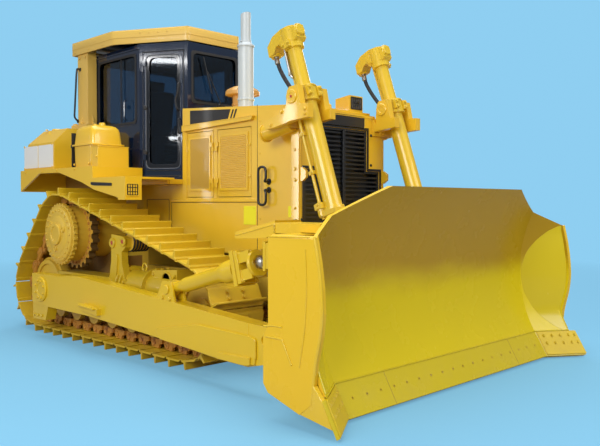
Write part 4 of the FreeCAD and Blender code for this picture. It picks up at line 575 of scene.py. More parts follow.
def collar(bm, start, direction, bore, radius, length, sides=32):
    """A plain ring round a bore."""
    turned(bm, start, direction, [(0, bore), (0, radius), (length, radius), (length, bore)], sides)


def button(bm, at, way, radius, height, rise=4, inset=6, sides=24):
    """A round boss with a chamfered top."""
    top = height + rise
    turned(bm, at, way, [(0, radius), (height, radius), (top, radius - inset), (top, 0)], sides)


def bolt(bm, at, direction, width=30.0, height=16.0):
    """A hexagonal bolt head on its washer; width is across the flats."""
    turned(bm, at, direction, [(0, width * 0.72), (3, width * 0.72)], 14)
    turned(bm, at, direction, [(3, width * 0.577), (height - 2, width * 0.577), (height, width * 0.48)], 6)


def spots(x, y, z):
    """Every place with these values of x, y and z, each a number or several."""
    return itertools.product(*(value if isinstance(value, tuple) else (value,) for value in (x, y, z)))


def bolts(bm, x, y, z, way, width=30.0, height=16.0):
    """Bolts at every one of some spots."""
    for at in spots(x, y, z):
        bolt(bm, at, way, width, height)


def studs(bm, x, y, z, way, profile, sides=24):
    """A small turned form at every one of some spots."""
    for at in spots(x, y, z):
        turned(bm, at, way, profile, sides)


def bolt_ring(bm, centre, direction, radius, count, width=30.0, height=16.0, start=0.0, turn=2 * math.pi):
    """Bolts round a centre, on a flat face that looks along direction."""
    line = Vector(direction).normalized()
    level = Vector(AHEAD) if abs(line.x) < 0.9 else Vector(OUT)
    level = (level - line * level.dot(line)).normalized()
    third = line.cross(level)
    for i in range(count):
        angle = start + turn * i / count
        spot = Vector(centre) + level * radius * math.cos(angle) + third * radius * math.sin(angle)
        bolt(bm, spot, direction, width, height)


def bend(before, corner, after, reach, steps):
    """The points of a rounded corner."""
    back, ahead = before - corner, after - corner
    cut = min(reach, back.length * 0.48, ahead.length * 0.48)
    start, end = corner + back.normalized() * cut, corner + ahead.normalized() * cut
    return [start * (1 - t) ** 2 + corner * 2 * t * (1 - t) + end * t ** 2
            for t in (i / steps for i in range(steps + 1))]


def round_corners(outline, radius, steps=4):
    """A flat outline with rounded corners."""
    corners = [Vector(corner) for corner in outline]
    after = corners[1:] + corners[:1]
    return [tuple(spot) for i, corner in enumerate(corners)
            for spot in bend(corners[i - 1], corner, after[i], radius, steps)]


def rounded_rect(a0, a1, b0, b1, radius):
    """The outline of a rectangle with rounded corners."""
    return round_corners(rect(a0, a1, b0, b1), radius)


def pipe(bm, points, radius, reach=40.0, sides=10):
    """Bent pipe or round bar through some points, with closed ends."""
    points = [Vector(p) for p in points]
    path = [points[0]]
    for corner in zip(points, points[1:], points[2:]):
        path += bend(*corner, reach, 5)
    path.append(points[-1])
    across_line = (path[1] - path[0]).normalized().orthogonal().normalized()
    rings = []
    for i, spot in enumerate(path):
        line = (path[min(i + 1, len(path) - 1)] - path[max(i - 1, 0)]).normalized()
        across_line = (across_line - line * across_line.dot(line)).normalized()
        third = line.cross(across_line)
        rings.append([spot + (across_line * math.cos(t) + third * math.sin(t)) * radius
                      for t in (2 * math.pi * k / sides for k in range(sides))])
    loft(bm, rings)


def slanted_block(bm, centre, line, up, half):
    """A block turned to lie along a line; half is its half size along, across and upwards."""
    third = line.cross(up)
    loft(bm, [[Vector(centre) + line * a * half[0] + third * b * half[1] + up * c * half[2]
               for b, c in rect(-1, 1, -1, 1)] for a in (-1, 1)])


def frame_ring(bm, outer, inner, put, low, high):
    """A flat frame between two outlines of as many points; put turns (a, b, level) into a place."""
    loft(bm, [[put(a, b, level) for a, b in outline]
              for outline, level in ((outer, low), (outer, high), (inner, high), (inner, low))], closed=True)


def rounded_frame(bm, a, b, border, radius, put, low, high, inner_radius=None):
    """A frame round a window (a and b are its low and high edges), with rounded corners."""
    outer = rounded_rect(a[0] - border, a[1] + border, b[0] - border, b[1] + border, radius)
    frame_ring(bm, outer, rounded_rect(*a, *b, inner_radius or radius), put, low, high)


def at_side(x, z, level):
    return x, level, z


def at_front(y, z, level):
    return level, y, z


# %% From drawing to piece
SHARP, BEVELLED = math.radians(33), math.radians(38)


def finish_piece(name, bm, paint, body, side=LEFT, bevel=0.0, stands_for=()):
    """Turn a drawn mesh into a piece: its side, its paint, softened edges and what carries it."""
    bmesh.ops.recalc_face_normals(bm, faces=bm.faces)
    for vertex in bm.verts:
        vertex.co = place(vertex.co.x, vertex.co.y * side, vertex.co.z)
    if side == RIGHT:
        bmesh.ops.reverse_faces(bm, faces=bm.faces)
    mesh = bpy.data.meshes.new(name)
    bm.to_mesh(mesh)
    bm.free()
    mesh.shade_smooth()
    mesh.set_sharp_from_angle(angle=SHARP)
    mesh.materials.append(PAINT[paint])
    made = link(name, mesh)
    if bevel:
        soften = made.modifiers.new("softened_edges", "BEVEL")
        soften.width = bevel * MM
        soften.segments = 2
        soften.limit_method = "ANGLE"
        soften.angle_limit = BEVELLED
    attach(made, body)
    if stands_for:
        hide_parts(*stands_for)
    return made


def one_piece(paint, body="tractor", **rest):
    """Make the piece that the next function draws."""
    def make(draw):
        bm = bmesh.new()
        draw(bm)
        return finish_piece(draw.__name__, bm, paint, body, **rest)
    return make


def pair(paint, body="tractor", bevel=0.0, stands_for=""):
    """Make the next function's piece on each side. SIDE in a name becomes right or left."""
    def make(draw):
        for side_name, side in SIDES:
            bm = bmesh.new()
            draw(bm)
            nodes = [stands_for.replace("SIDE", side_name)] if stands_for else []
            finish_piece(draw.__name__ + "_" + side_name, bm, paint, body.replace("SIDE", side_name),
                         side, bevel, nodes)
        return draw
    return make


print("shape helpers are ready")

# %% [markdown]
# ## Tracks
# Each track is 39 steel shoes bolted to a chain. A shoe is a wide plate with one tall grouser along
# its leading edge. The chain's links overlap at each pin like the links of a bicycle chain, and keep a
# window through which the shoe's nuts are reached. The loop runs round both idlers on the ground and
# the raised sprocket, so it is laid out on the same circles as the solids.

# %% Where the pins are
GAUGE, SHOE_WIDTH, LINK_PITCH = 1980.0, 560.0, 216.0
TRACK_Y = GAUGE / 2
IDLER_X, IDLER_Z, IDLER_PITCH_R = 1445.0, 491.0, 361.0
SPROCKET_X, SPROCKET_Z, SPROCKET_PITCH_R = -868.0, 1110.0, 386.0


def belt(circles):
    """Arcs and straights of a belt round circles of (x, z, radius)."""
    normals = []
    for i, (x0, z0, r0) in enumerate(circles):
        x1, z1, r1 = circles[(i + 1) % len(circles)]
        normals.append(math.atan2(z1 - z0, x1 - x0) - math.acos((r0 - r1) / math.hypot(x1 - x0, z1 - z0)))
    stretches = []
    for i, (x, z, r) in enumerate(circles):
        start, end = normals[i - 1], normals[i]
        while end < start:
            end += 2 * math.pi
        x1, z1, r1 = circles[(i + 1) % len(circles)]
        run = tuple((cx + cr * math.cos(end), cz + cr * math.sin(end)) for cx, cz, cr in ((x, z, r), (x1, z1, r1)))
        stretches += [("arc", (x, z, r, start), r * (end - start)), ("line", run, math.dist(*run))]
    return stretches


def along(stretches, distance):
    """The point that lies a distance along the belt."""
    for kind, data, length in stretches:
        if distance <= length:
            break
        distance -= length
    if kind == "arc":
        x, z, r, start = data
        angle = start + distance / r
        return x + r * math.cos(angle), z + r * math.sin(angle)
    (x0, z0), (x1, z1) = data
    share = distance / length
    return x0 + (x1 - x0) * share, z0 + (z1 - z0) * share


track_belt = belt([(-IDLER_X, IDLER_Z, IDLER_PITCH_R), (IDLER_X, IDLER_Z, IDLER_PITCH_R),
                   (SPROCKET_X, SPROCKET_Z, SPROCKET_PITCH_R)])
belt_length = sum(stretch[2] for stretch in track_belt)
SHOES = round(belt_length / LINK_PITCH)
pins = [along(track_belt, belt_length * i / SHOES) for i in range(SHOES)]
print("shoes on a track:", SHOES, "chain length:", round(belt_length))

# %% Shoes, links and pins
SHOE_PROFILE = [(7, 46), (7, 64), (27, 65), (33, 72), (38, 126), (42, 130), (53, 130), (57, 126), (61, 72),
                (67, 65), (186, 65), (200, 60), (212, 45), (241, 43), (241, 37), (206, 37), (196, 46)]
LINK_PIN_R = 44.0


def each_link():
    """Each link's own frame: a function from (along, outward) to (x, z), and its outward direction."""
    for (x0, z0), (x1, z1) in zip(pins, pins[1:] + pins[:1]):
        length = math.dist((x0, z0), (x1, z1))
        ux, uz = (x1 - x0) / length, (z1 - z0) / length
        yield (lambda u, v, x0=x0, z0=z0, ux=ux, uz=uz: (x0 + ux * u + uz * v, z0 + uz * u - ux * v)), (uz, 0, -ux)


@pair("shoe_yellow", bevel=2.5, stands_for="track_SIDE")
def track_shoes(bm):
    for at, outward in each_link():
        slab(bm, "y", [at(u, v) for u, v in SHOE_PROFILE], TRACK_Y - SHOE_WIDTH / 2, TRACK_Y + SHOE_WIDTH / 2)


@pair("shoe_yellow")
def shoe_bolts(bm):
    for at, outward in each_link():
        for u in (98, 158):
            x, z = at(u, 65)
            bolts(bm, x, (TRACK_Y - 84, TRACK_Y + 84), z, outward, 34, 20)


@pair("link_rust", bevel=4.0)
def chain_links(bm):
    """Two rows of links. Half of each link steps outwards to clear the next one's end."""
    rear = [(LINK_PIN_R * math.cos(a), LINK_PIN_R * math.sin(a))
            for a in (math.radians(90 + 22.5 * k) for k in range(9))]
    rear = rear[::-1] + [(78, 44), (84, 8), (128, 0), (132, -44)]
    front = [(LINK_PITCH - u, v) for u, v in rear[:11]] + [(88, 0), (84, -44)]
    for at, outward in each_link():
        for row in (-1, 1):
            inner = TRACK_Y + row * 55
            for outline, near, far in ((rear, 26, 58), (front, -2, 30)):
                slab(bm, "y", [at(u, v) for u, v in outline], *sorted((inner + row * near, inner + row * far)))


@pair("link_rust")
def chain_pins(bm):
    for x, z in pins:
        for row in (-1, 1):
            turned(bm, (x, TRACK_Y + row * 113, z), (0, row, 0),
                   [(0, 30), (6, 30), (9, 26), (9, 15), (5, 13), (5, 0)], 16)


# %% [markdown]
# ## Running gear
# The solids give the roller frames, wheels and drums. The pieces here are what a fitter would see on
# them: bolt rings, end caps, the carrier roller's ribs, the lifting eye and the guards' bolts.

# %% Final drives and sprockets
HUB_OUT = TRACK_Y + 240


def hub(out):
    """The final drive's axis, some way out from the drum's face."""
    return SPROCKET_X, HUB_OUT + out, SPROCKET_Z


@pair("casting_yellow", bevel=1.5)
def final_drive_bolts(bm):
    turned(bm, hub(0), OUT, [(0, 296), (6, 296), (10, 288), (10, 206), (16, 198), (22, 150), (24, 120)], 64)
    turned(bm, hub(22), OUT, [(0, 118), (22, 116), (28, 108), (28, 84), (16, 78), (16, 0)], 44)
    for turn in (0.35, 2.45, 4.54):
        spot = (SPROCKET_X + 158 * math.cos(turn), HUB_OUT + 14, SPROCKET_Z + 158 * math.sin(turn))
        turned(bm, spot, OUT, [(0, 34), (18, 34), (22, 30), (22, 18), (12, 15), (12, 0)], 24)
    for out, radius, count, width, height, start in ((8, 258, 22, 24, 14, 0.0), (38, 84, 8, 16, 10, 0.0),
                                                     (-58, 318, 17, 20, 8, 0.1)):
        bolt_ring(bm, hub(out), OUT, radius, count, width, height, start)


@pair("link_rust")
def segment_bolts(bm):
    bolt_ring(bm, (SPROCKET_X, TRACK_Y + 42, SPROCKET_Z), OUT, 322, 30, 22, 12, 0.05)


# %% Roller frames
CARRIER_X, CARRIER_Z = 275.0, 1056.0
FRAME_OUT = TRACK_Y + 125
GUARD_Y = TRACK_Y + 140
RECOIL_Z = 630.0
COVER_X, COVER_Z = 950, RECOIL_Z + 105
CARRIER_ENDS = ((CARRIER_X + 18, CARRIER_Z + 10), (CARRIER_X - 176, CARRIER_Z - 9))


@pair("frame_yellow")
def frame_bolts(bm):
    """Bolts of the roller guards, end caps and the post."""
    for x in (-1090 + i * 2180 / 6 for i in range(7)):
        bolts(bm, (x - 70, x + 70), GUARD_Y, 402, OUT, 34, 22)
        button(bm, (x, GUARD_Y, 300), OUT, 44, 10)
    for x in (-IDLER_X, IDLER_X):
        button(bm, (x, FRAME_OUT, IDLER_Z), OUT, 74, 12, 4, 8, 32)
        bolt_ring(bm, (x, FRAME_OUT + 14, IDLER_Z), OUT, 50, 6, 20, 12)
        bolts(bm, (x - 100, x + 100), FRAME_OUT, (IDLER_Z - 45, IDLER_Z + 45), OUT, 28, 18)
    bolts(bm, (CARRIER_X - 225, CARRIER_X + 15), TRACK_Y + 150, (600, 665), OUT, 30, 18)
    bolt(bm, (CARRIER_X - 105, TRACK_Y + 150, 630), OUT, 30, 18)
    for x in (178, 245, 1085):
        bolt_ring(bm, (x, TRACK_Y, RECOIL_Z), (-1, 0, 0), 176, 9, 22, 12, 0.2, math.pi)


@pair("frame_yellow", bevel=1.5)
def recoil_details(bm):
    """Recoil housing: seam flanges, the lifting eye and the raised cover's rim."""
    for x in (184, 250, 640, 1075):
        collar(bm, (x, TRACK_Y, RECOIL_Z), AHEAD, 149, 190, 24, 40)
    eye = [(439 + 38 * math.cos(a), TRACK_Y, 812 + 40 * math.sin(a))
           for a in (math.radians(-50 + 28 * k) for k in range(11))]
    pipe(bm, [(414, TRACK_Y, 765)] + eye[::-1] + [(464, TRACK_Y, 765)], 11, 10)
    turned(bm, (COVER_X, TRACK_Y + 98, COVER_Z), OUT,
           [(0, 62), (0, 78), (10, 78), (14, 72), (14, 62), (0, 62)], 36)
    bolts(bm, (735, 1085), TRACK_Y + 100, (775, 700), OUT, 24, 14)
    for x, rise in ((735, 179), (1085, 195)):
        bolts(bm, x, (TRACK_Y - 70, TRACK_Y, TRACK_Y + 70), RECOIL_Z + rise, UP, 24, 14)


@pair("trim_black", bevel=2.0)
def carrier_ribs(bm):
    for y in range(-112, 59, 34):
        turned(bm, (CARRIER_X, TRACK_Y + y, CARRIER_Z), OUT, [(0, 84), (2, 97), (14, 97), (16, 84)], 36)


@pair("frame_yellow", bevel=2.0)
def carrier_caps(bm):
    """The carrier roller's end cap and the round boss on the post."""
    for x, z in CARRIER_ENDS:
        turned(bm, (x, TRACK_Y + 149, z), OUT, [(0, 50), (16, 50), (20, 44), (20, 24), (14, 22), (14, 0)], 32)
        bolt_ring(bm, (x, TRACK_Y + 166, z), OUT, 36, 4, 12, 7, 0.5)
    slab(bm, "y", [(150, 700), (176, 700), (205, 900), (190, 940), (165, 900)], TRACK_Y + 148, TRACK_Y + 168)


@pair("boss_red")
def carrier_cap_centres(bm):
    for x, z in CARRIER_ENDS:
        turned(bm, (x, TRACK_Y + 160, z), OUT, [(0, 21), (6, 20), (9, 12), (9, 0)], 20)


@pair("trim_black")
def recoil_openings(bm):
    turned(bm, (COVER_X, TRACK_Y + 70, COVER_Z), OUT, [(0, 61), (4, 61)], 32)


print("frame out to:", FRAME_OUT, "final drive out to:", HUB_OUT)

# %% [markdown]
# ## Blade, push arms and brace
# The moldboard is one rolled plate between two box beams, with raked wings. Bolts hold the cutting
# edge and the two thick end bits. The right arm carries a brace with a ball joint at the blade; the
# left one carries the tilt cylinder. Everything here swings with the blade.

# %% Edge, bits and seams
EDGE_X, EDGE_Z, EDGE_TOP_X, EDGE_TOP_Z = 3438.0, 25.0, 3316.0, 237.0
FOLD_HALF, WING_END, WING_OUT = 1400.0, 1690.0, 1735.0
RAKE = math.tan(math.radians(34))
WING_REACH = (WING_END - FOLD_HALF) * RAKE
MOLD_X, MOLD_Z, MOLD_R = 4329.2, 820.1, 1169.0
BIT_PROUD = 13
edge_down = Vector((EDGE_X - EDGE_TOP_X, 0, EDGE_Z - EDGE_TOP_Z)).normalized()
edge_out = Vector((-edge_down.z, 0, edge_down.x))
BLADE = "blade_assembly"
WING_CURVE = ((240, 1645), (282, 1586), (367, 1513), (455, 1465), (593, 1420), (732, 1406), (844, 1411),
              (984, 1446), (1090, 1508), (1180, 1589), (1228, 1672))
PLATE_EDGE = ((180, -18), (436, 11), (618, 57), (754, 72), (914, 63), (1074, 39), (1240, 2))


def mold_x(z):
    """The moldboard's face at a height."""
    return MOLD_X - math.sqrt(MOLD_R ** 2 - (z - MOLD_Z) ** 2)


def on_edge(y, down, out=0.0):
    """A point on the cutting edge's front face; past the fold it follows the wing forward."""
    wing = max(0.0, y - FOLD_HALF) * RAKE
    return Vector((EDGE_TOP_X + wing, y, EDGE_TOP_Z)) + edge_down * down + edge_out * out


def along_table(table, at):
    """The value at a height in a table of (height, value) rows."""
    for (low, a), (high, b) in zip(table, table[1:]):
        if at <= high:
            return a + (b - a) * (at - low) / (high - low)
    return table[-1][1]


@pair("bit_yellow", BLADE)
def edge_bolts(bm):
    for y in range(70, 1287, 152):
        turned(bm, on_edge(y, 118), edge_out, [(0, 12), (1, 12), (1, 7), (0, 6), (0, 0)], 14)
    for y in (1450, 1520, 1590, 1660, 1712):
        for down in (45, 120):
            turned(bm, on_edge(y, down, BIT_PROUD), edge_out, [(0, 16), (2, 15), (2, 10), (-2, 9), (-2, 0)], 14)


@pair("bit_yellow", BLADE, bevel=3.0)
def end_bits(bm):
    """Thick end bit, proud of the edge bar, with a chamfered lower lip."""
    back = [on_edge(y, down) for y, down in rect(1404, WING_OUT - 1, 6, 236)]
    face = [corner + edge_out * BIT_PROUD for corner in back]
    face[0].y += 8
    loft(bm, [back, face])


@pair("blade_yellow", BLADE)
def mold_welds(bm):
    """Weld beads at the end plate and above the cutting edge."""
    pipe(bm, [(mold_x(z) + WING_REACH, WING_END, z) for z in range(260, 1225, 65)], 6, 8, 6)
    pipe(bm, [on_edge(y, -5, 2) for y in (0, FOLD_HALF, WING_END)], 6, 5, 6)


@pair("blade_yellow", BLADE)
def wing_plates(bm):
    """Flat plate that closes each wing's hollow, between the rolled skin and the end plate's front."""
    rings = []
    for z in (240 + (1228 - 240) * k / 22 for k in range(23)):
        y = along_table(WING_CURVE, z)
        near = Vector((mold_x(z) + (y - FOLD_HALF) * RAKE + 2, y, z))
        front = max(EDGE_X + along_table(PLATE_EDGE, z) - 22, mold_x(z) + WING_REACH + 1)
        far = Vector((front, WING_END + 2, z))
        back = Vector((10, 0, 0))
        rings.append([near, far, far - back, near - back])
    loft(bm, rings)


@pair("side_plate_yellow", BLADE, bevel=2.0)
def end_plate_toes(bm):
    """Lower front corner of each end plate, reaching down behind the end bit, and its rolled edge."""
    slab(bm, "y", [(3300, 104), (3596, 60), (3512, 215), (3440, 300), (3360, 300), (3300, 200)],
         WING_END + 2, WING_OUT - 2)
    pipe(bm, [(EDGE_X + along_table(PLATE_EDGE, z) - 4, WING_OUT - 9, z)
              for z in (190, 300, 436, 618, 754, 914, 1074, 1232)], 10, 60, 10)


@pair("side_plate_yellow", BLADE)
def side_plate_welds(bm):
    """Raised seams on the end plate, where its stiffeners are welded through."""
    for path, radius, reach in ((((3005, 560), (3158, 562), (3249, 404)), 8, 25),
                                (((2985, 626), (3075, 640), (3162, 640)), 7, 25),
                                (((3372, 1150), (3384, 900), (3366, 640), (3318, 400)), 4, 60),
                                (((3040, 1222), (3405, 1228)), 6, 10)):
        pipe(bm, [(x, WING_OUT + 1, z) for x, z in path], radius, reach, 8)


@pair("inner_brown", BLADE)
def edge_joints(bm):
    """Narrow dark gap between the cutting edge's bars."""
    near, far = on_edge(880, 4), on_edge(880, 240)
    pipe(bm, [near, (near + far) / 2, far], 1.6, 5, 6)


print("wing reaches forward by:", round(WING_REACH))

# %% Push arm's fittings
ARM_OUT, ARM_IN = 1440.0, 1300.0
PIVOT_X, PIVOT_Z = -850.0, 530.0
NOSE_X = 2738.0


@pair("arm_yellow", BLADE, bevel=1.5)
def arm_fittings(bm):
    """The pivot's cap, the step with its brackets, the lifting ring and bolts along the arm."""
    turned(bm, (PIVOT_X, ARM_OUT, PIVOT_Z), OUT,
           [(0, 132), (14, 132), (20, 124), (20, 64), (12, 58), (12, 0)], 44)
    bolt_ring(bm, (PIVOT_X, ARM_OUT + 19, PIVOT_Z), OUT, 96, 8, 26, 15, 0.4)
    bolts(bm, (-1020, -935, -850), ARM_OUT - 10, 245, OUT, 26, 16)
    for x in (90, 330):
        pipe(bm, [(x, ARM_OUT + 40, 446), (x, ARM_OUT + 72, 452), (x, ARM_OUT + 74, 466)], 7, 14, 8)
    slab(bm, "y", [(60, 452), (352, 436), (352, 450), (60, 468)], ARM_OUT - 2, ARM_OUT + 78)
    turned(bm, (2694, ARM_OUT - 2, 452), OUT,
           [(0, 32), (2, 52), (20, 52), (26, 46), (26, 34), (6, 32), (6, 0)], 32)
    for x, z in ((1385, 645), (1490, 638)):
        bolt(bm, (x, ARM_OUT - 6, z), OUT, 30, 16)
    bolts(bm, NOSE_X - 2, ARM_OUT - 40, (325, 385, 445, 505), AHEAD, 30, 18)


@pair("arm_yellow", BLADE)
def arm_welds(bm):
    """Beads round the doubler plates at the arm's front."""
    for path, out, radius, reach in (
            (((-1365, 290), (-1430, 365), (-845, 470), (-235, 455), (-160, 440), (-160, 300)), 8, 9, 20),
            (((-582, 250), (-582, 292), (-198, 302)), 20, 7, 10),
            (((-250, 550), (-240, 240)), -2, 7, 10)):
        pipe(bm, [(NOSE_X + x, ARM_OUT + out, z) for x, z in path], radius, reach, 8)


# %% Brace with its ball joint
BRACE_Y = (ARM_IN + ARM_OUT) / 2
brace_low = Vector((1440.0, BRACE_Y, 715.0))
brace_line = (Vector((3040.0, BRACE_Y, 1130.0)) - brace_low).normalized()
brace_up = Vector((-brace_line.z, 0, brace_line.x))


def on_brace(distance, aside=0.0, up=0.0):
    """A point along the brace's line from its lower pin."""
    return brace_low + brace_line * distance + Vector((0, aside, 0)) + brace_up * up


def brace_block(bm, centre, half):
    slanted_block(bm, centre, brace_line, brace_up, half)


@one_piece("arm_yellow", BLADE, side=RIGHT, bevel=3.0, stands_for=["tilt_brace"])
def brace_tube(bm):
    """The tube, its bolted clamp, the pin at its foot and the plates that guard its end."""
    turned(bm, on_brace(34), brace_line, [(0, 41), (95, 41), (150, 58), (200, 62), (640, 62), (652, 68),
                                          (664, 68), (700, 84), (760, 90), (860, 90)], 40)
    brace_block(bm, on_brace(932), (20, 92, 136))
    brace_block(bm, on_brace(976), (20, 88, 124))
    for b, c in itertools.product((-1, 1), (-1, 1)):
        bolt(bm, on_brace(996, b * 62, c * 100), brace_line, 30, 20)
        brace_block(bm, on_brace(1050, b * 66, c * 66), (62, 9, 40))
    turned(bm, on_brace(1108), brace_line, [(-8, 58), (-8, 100), (10, 106), (26, 98), (26, 58)], 32)
    turned(bm, on_brace(0, -41.5), OUT, [(0, 56), (5, 61), (78, 61), (83, 56)], 32)
    button(bm, on_brace(0, 66), OUT, 40, 10)
    for y in (ARM_IN + 4, ARM_OUT - 24):
        slab(bm, "y", [(2668, 965), (2668, 1150), (3040, 1205), (3040, 985)], y, y + 20)
    slab(bm, "x", rect(ARM_IN, ARM_OUT, 950, 1165), 2650, 2676)
    bolts(bm, 2650, (ARM_IN + 26, ARM_OUT - 26), (975, 1058, 1140), (-1, 0, 0), 28, 18)


@one_piece("bare_steel", BLADE, side=RIGHT)
def brace_ball(bm):
    centre, radius = on_brace(1158), 50
    turned(bm, centre - brace_line * radius, brace_line,
           [(radius * (1 - math.cos(a)), radius * math.sin(a)) for a in (math.pi * k / 14 for k in range(12))], 28)
    neck = centre + brace_line * 24
    end = Vector((2655, BRACE_Y, centre.z + 14))
    turned(bm, neck, end - neck, [(0, 36), ((end - neck).length, 36)])


@one_piece("arm_yellow", BLADE, side=LEFT, bevel=1.5)
def tilt_cylinder_ends(bm):
    """Glands, pipe and pin of the tilt cylinder on the other arm."""
    for reach in (500, 1330):
        turned(bm, on_brace(reach), brace_line, [(0, 74), (0, 90), (34, 90), (38, 84), (38, 74)], 32)
    bolt_ring(bm, on_brace(500), -brace_line, 76, 8, 20, 12)
    button(bm, on_brace(0, 66), OUT, 40, 10)
    pipe(bm, [on_brace(reach, 0, up) for reach, up in ((560, 74), (560, 104), (1280, 104), (1280, 74))], 14, 40)


@pair("arm_yellow", BLADE)
def guard_bolts(bm):
    """Bolts and a bead on the brace guard's plates."""
    bolts(bm, 2775, 1441, (1240, 1262, 1284), OUT, 14, 8)
    pipe(bm, [(2352, 1441, 1200), (2600, 1441, 1252), (2778, 1441, 1292)], 5, 30, 6)
    for x in (2400, 2520, 2640):
        bolt(bm, (x, 1316, 1240 + (x - 2400) * 0.2157), (-0.21, 0, 0.98), 24, 14)


# Painted shadow: a thin black sheet in the gap under the brace guard's top plate, standing for the shade that
# falls there.
@pair("seal_rubber", BLADE)
def painted_guard_shadow(bm):
    slab(bm, "y", [(2524, 1250), (2524, 1300), (2745, 1322), (2745, 1300)], 1186, 1194)


print("brace length to the ball:", 1158)

# %% [markdown]
# ## Lift cylinders
# Each cylinder hangs by a collar in its yoke. Oil reaches it through a cast head, a steel pipe and a
# short thick hose down its back. The hose is one smooth curve of fixed length, with a swaged ferrule
# at its top.

# %% Hoses on the lift cylinders
LIFT_Y = 590.0
lift_top = Vector((2268.0, 0.0, 2318.0))
lift_down = Vector((0.31775, 0.0, -0.948174))
lift_front = Vector((0.948174, 0.0, 0.31775))
HOSE = ((-496.4, -224), (-420, -228), (-320, -206), (-212, -168), (-120, -128), (-60, -104))
HOSE_RADIUS = 0.018


def on_lift(distance, aside=0.0, out=0.0):
    """A point on a lift cylinder: distance below the trunnion, aside from its axis, out to its front."""
    return lift_top + lift_down * distance + lift_front * out + Vector((0, LIFT_Y + aside, 0))


@pair("bare_steel", "lift_barrel_SIDE")
def hose_ferrule(bm):
    start, ahead = on_lift(-494, 0, -224), on_lift(-420, 0, -228)
    turned(bm, start, ahead - start,
           [(0, 27), (12, 27), (12, 21), (20, 21), (24, 23.5), (62, 23.5), (66, 20), (66, 17)], 22)


for side_name, side in SIDES:
    curve = bpy.data.curves.new("lift_hose_line_" + side_name, "CURVE")
    curve.dimensions = "3D"
    curve.bevel_depth = HOSE_RADIUS
    curve.bevel_resolution = 4
    curve.resolution_u = 8
    curve.use_fill_caps = True
    line = curve.splines.new("NURBS")
    line.points.add(len(HOSE) - 1)
    for control, (distance, out) in zip(line.points, HOSE):
        spot = on_lift(distance, 0, out)
        control.co = (*place(spot.x, spot.y * side, spot.z), 1)
    line.order_u = 3
    line.use_endpoint_u = True
    curve.materials.append(PAINT["hose_rubber"])
    hose = link("lift_hose_line_" + side_name, curve)
    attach(hose, "lift_barrel_" + side_name)
    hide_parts("lift_hose_" + side_name)

# %% Cylinder heads, clamps, glands and pipes


def lift_block(bm, centre, half):
    slanted_block(bm, centre, lift_down, lift_front, half)


@pair("cylinder_yellow", "lift_barrel_SIDE", bevel=1.5)
def cylinder_fittings(bm):
    turned(bm, on_lift(-520), lift_down, [(0, 62), (0, 84), (66, 84), (70, 78), (70, 62)], 36)
    lift_block(bm, on_lift(-487, 88), (32, 16, 40))
    turned(bm, on_lift(-590, 0, 92), lift_front, [(0, 58), (10, 58), (16, 52), (26, 50), (30, 44), (30, 0)], 28)
    bolt_ring(bm, on_lift(-590, 0, 104), lift_front, 47, 4, 20, 16, 0.78)
    turned(bm, on_lift(-505, 0, -224), lift_down, [(-16, 46), (4, 50), (18, 44), (18, 26)], 24)
    bolt_ring(bm, on_lift(-497, 0, -224), lift_down, 36, 4, 14, 10)
    for way in (-1, 1):
        button(bm, on_lift(-560, way * 60, -60), (0, way, 0), 40, 8)
        bolt(bm, on_lift(-600, way * 60, 40), (0, way, 0), 22, 12)
        lift_block(bm, on_lift(-30, way * 62, 96), (44, 20, 14))
        for distance in (-56, -4):
            bolt(bm, on_lift(distance, way * 62, 110), lift_front, 26, 16)
        for out in (-70, 70):
            bolt(bm, on_lift(1024, way * 70, out), lift_down, 28, 18)
    for distance in (-90, 30):
        collar(bm, on_lift(distance), lift_down, 99, 106, 12, 40)
    lift_block(bm, on_lift(1004), (20, 93, 93))
    turned(bm, on_lift(1038), lift_down, [(0, 43), (0, 88), (10, 84), (26, 60), (34, 58), (34, 43)], 36)
    lift_block(bm, on_lift(930, 76, -72), (26, 34, 38))
    for distance in (300, 640):
        lift_block(bm, on_lift(distance, 74, -70), (16, 22, 26))
    for distance, aside, out, width, height in (
            (-487, 104, -30, 22, 14), (-487, 104, 30, 22, 14), (916, 108, -72, 18, 12), (944, 108, -72, 18, 12),
            (300, 96, -60, 14, 10), (640, 96, -60, 14, 10)):
        bolt(bm, on_lift(distance, aside, out), OUT, width, height)


@pair("bare_steel", "lift_barrel_SIDE")
def cylinder_steel_pipe(bm):
    pipe(bm, [on_lift(-500, 44, -62), on_lift(-470, 52, -66), on_lift(-250, 52, -70), on_lift(-214, 44, -60)],
         12, 30)
    collar(bm, on_lift(-262, 52, -70), lift_down, 12, 19, 22, 6)


@pair("body_yellow", bevel=1.5)
def yoke_caps(bm):
    for y, way in ((770, 1), (410, -1)):
        turned(bm, (2268, y, 2318), (0, way, 0), [(0, 58), (8, 58), (12, 52), (12, 30), (8, 26), (8, 0)], 32)
    for x, z in ((2420, 2205), (2420, 2165), (2015, 2100), (2150, 2200)):
        bolt(bm, (x, 770, z), OUT, 24, 16)
    turned(bm, (1792, 620, 2061), (-478, 0, -67), [(-14, 75), (-14, 84), (8, 84), (10, 76)], 32)
    bolts(bm, 2185, (480, 545), (2110, 2180), AHEAD, 28, 18)


@pair("boss_red")
def yoke_cap_centres(bm):
    turned(bm, (2268, 778, 2318), OUT, [(0, 12), (6, 11), (8, 6), (8, 0)], 16)


print("lift cylinders at:", LIFT_Y)

# %% [markdown]
# ## Hood, engine doors and radiator guard
# The hood's sides carry a plain black band under its top edge, punched and louvred door panels, a
# black grab loop and rows of screws. The grille is backed by darkness, as a radiator core would be.

# %% Hood sides
HOOD_OUT = 480.0
SCREW = ((0, 9), (3, 8), (5, 4), (5, 0))


@pair("trim_black")
def hood_band(bm):
    slab(bm, "y", [(498, 2244), (1098, 2250), (1140, 2344), (498, 2386)], HOOD_OUT - 1, HOOD_OUT + 2)
    for x in (1128, 1174):
        slab(bm, "y", [(x, 2251), (x + 22, 2251), (x + 64, 2337), (x + 42, 2339)], HOOD_OUT - 1, HOOD_OUT + 2)


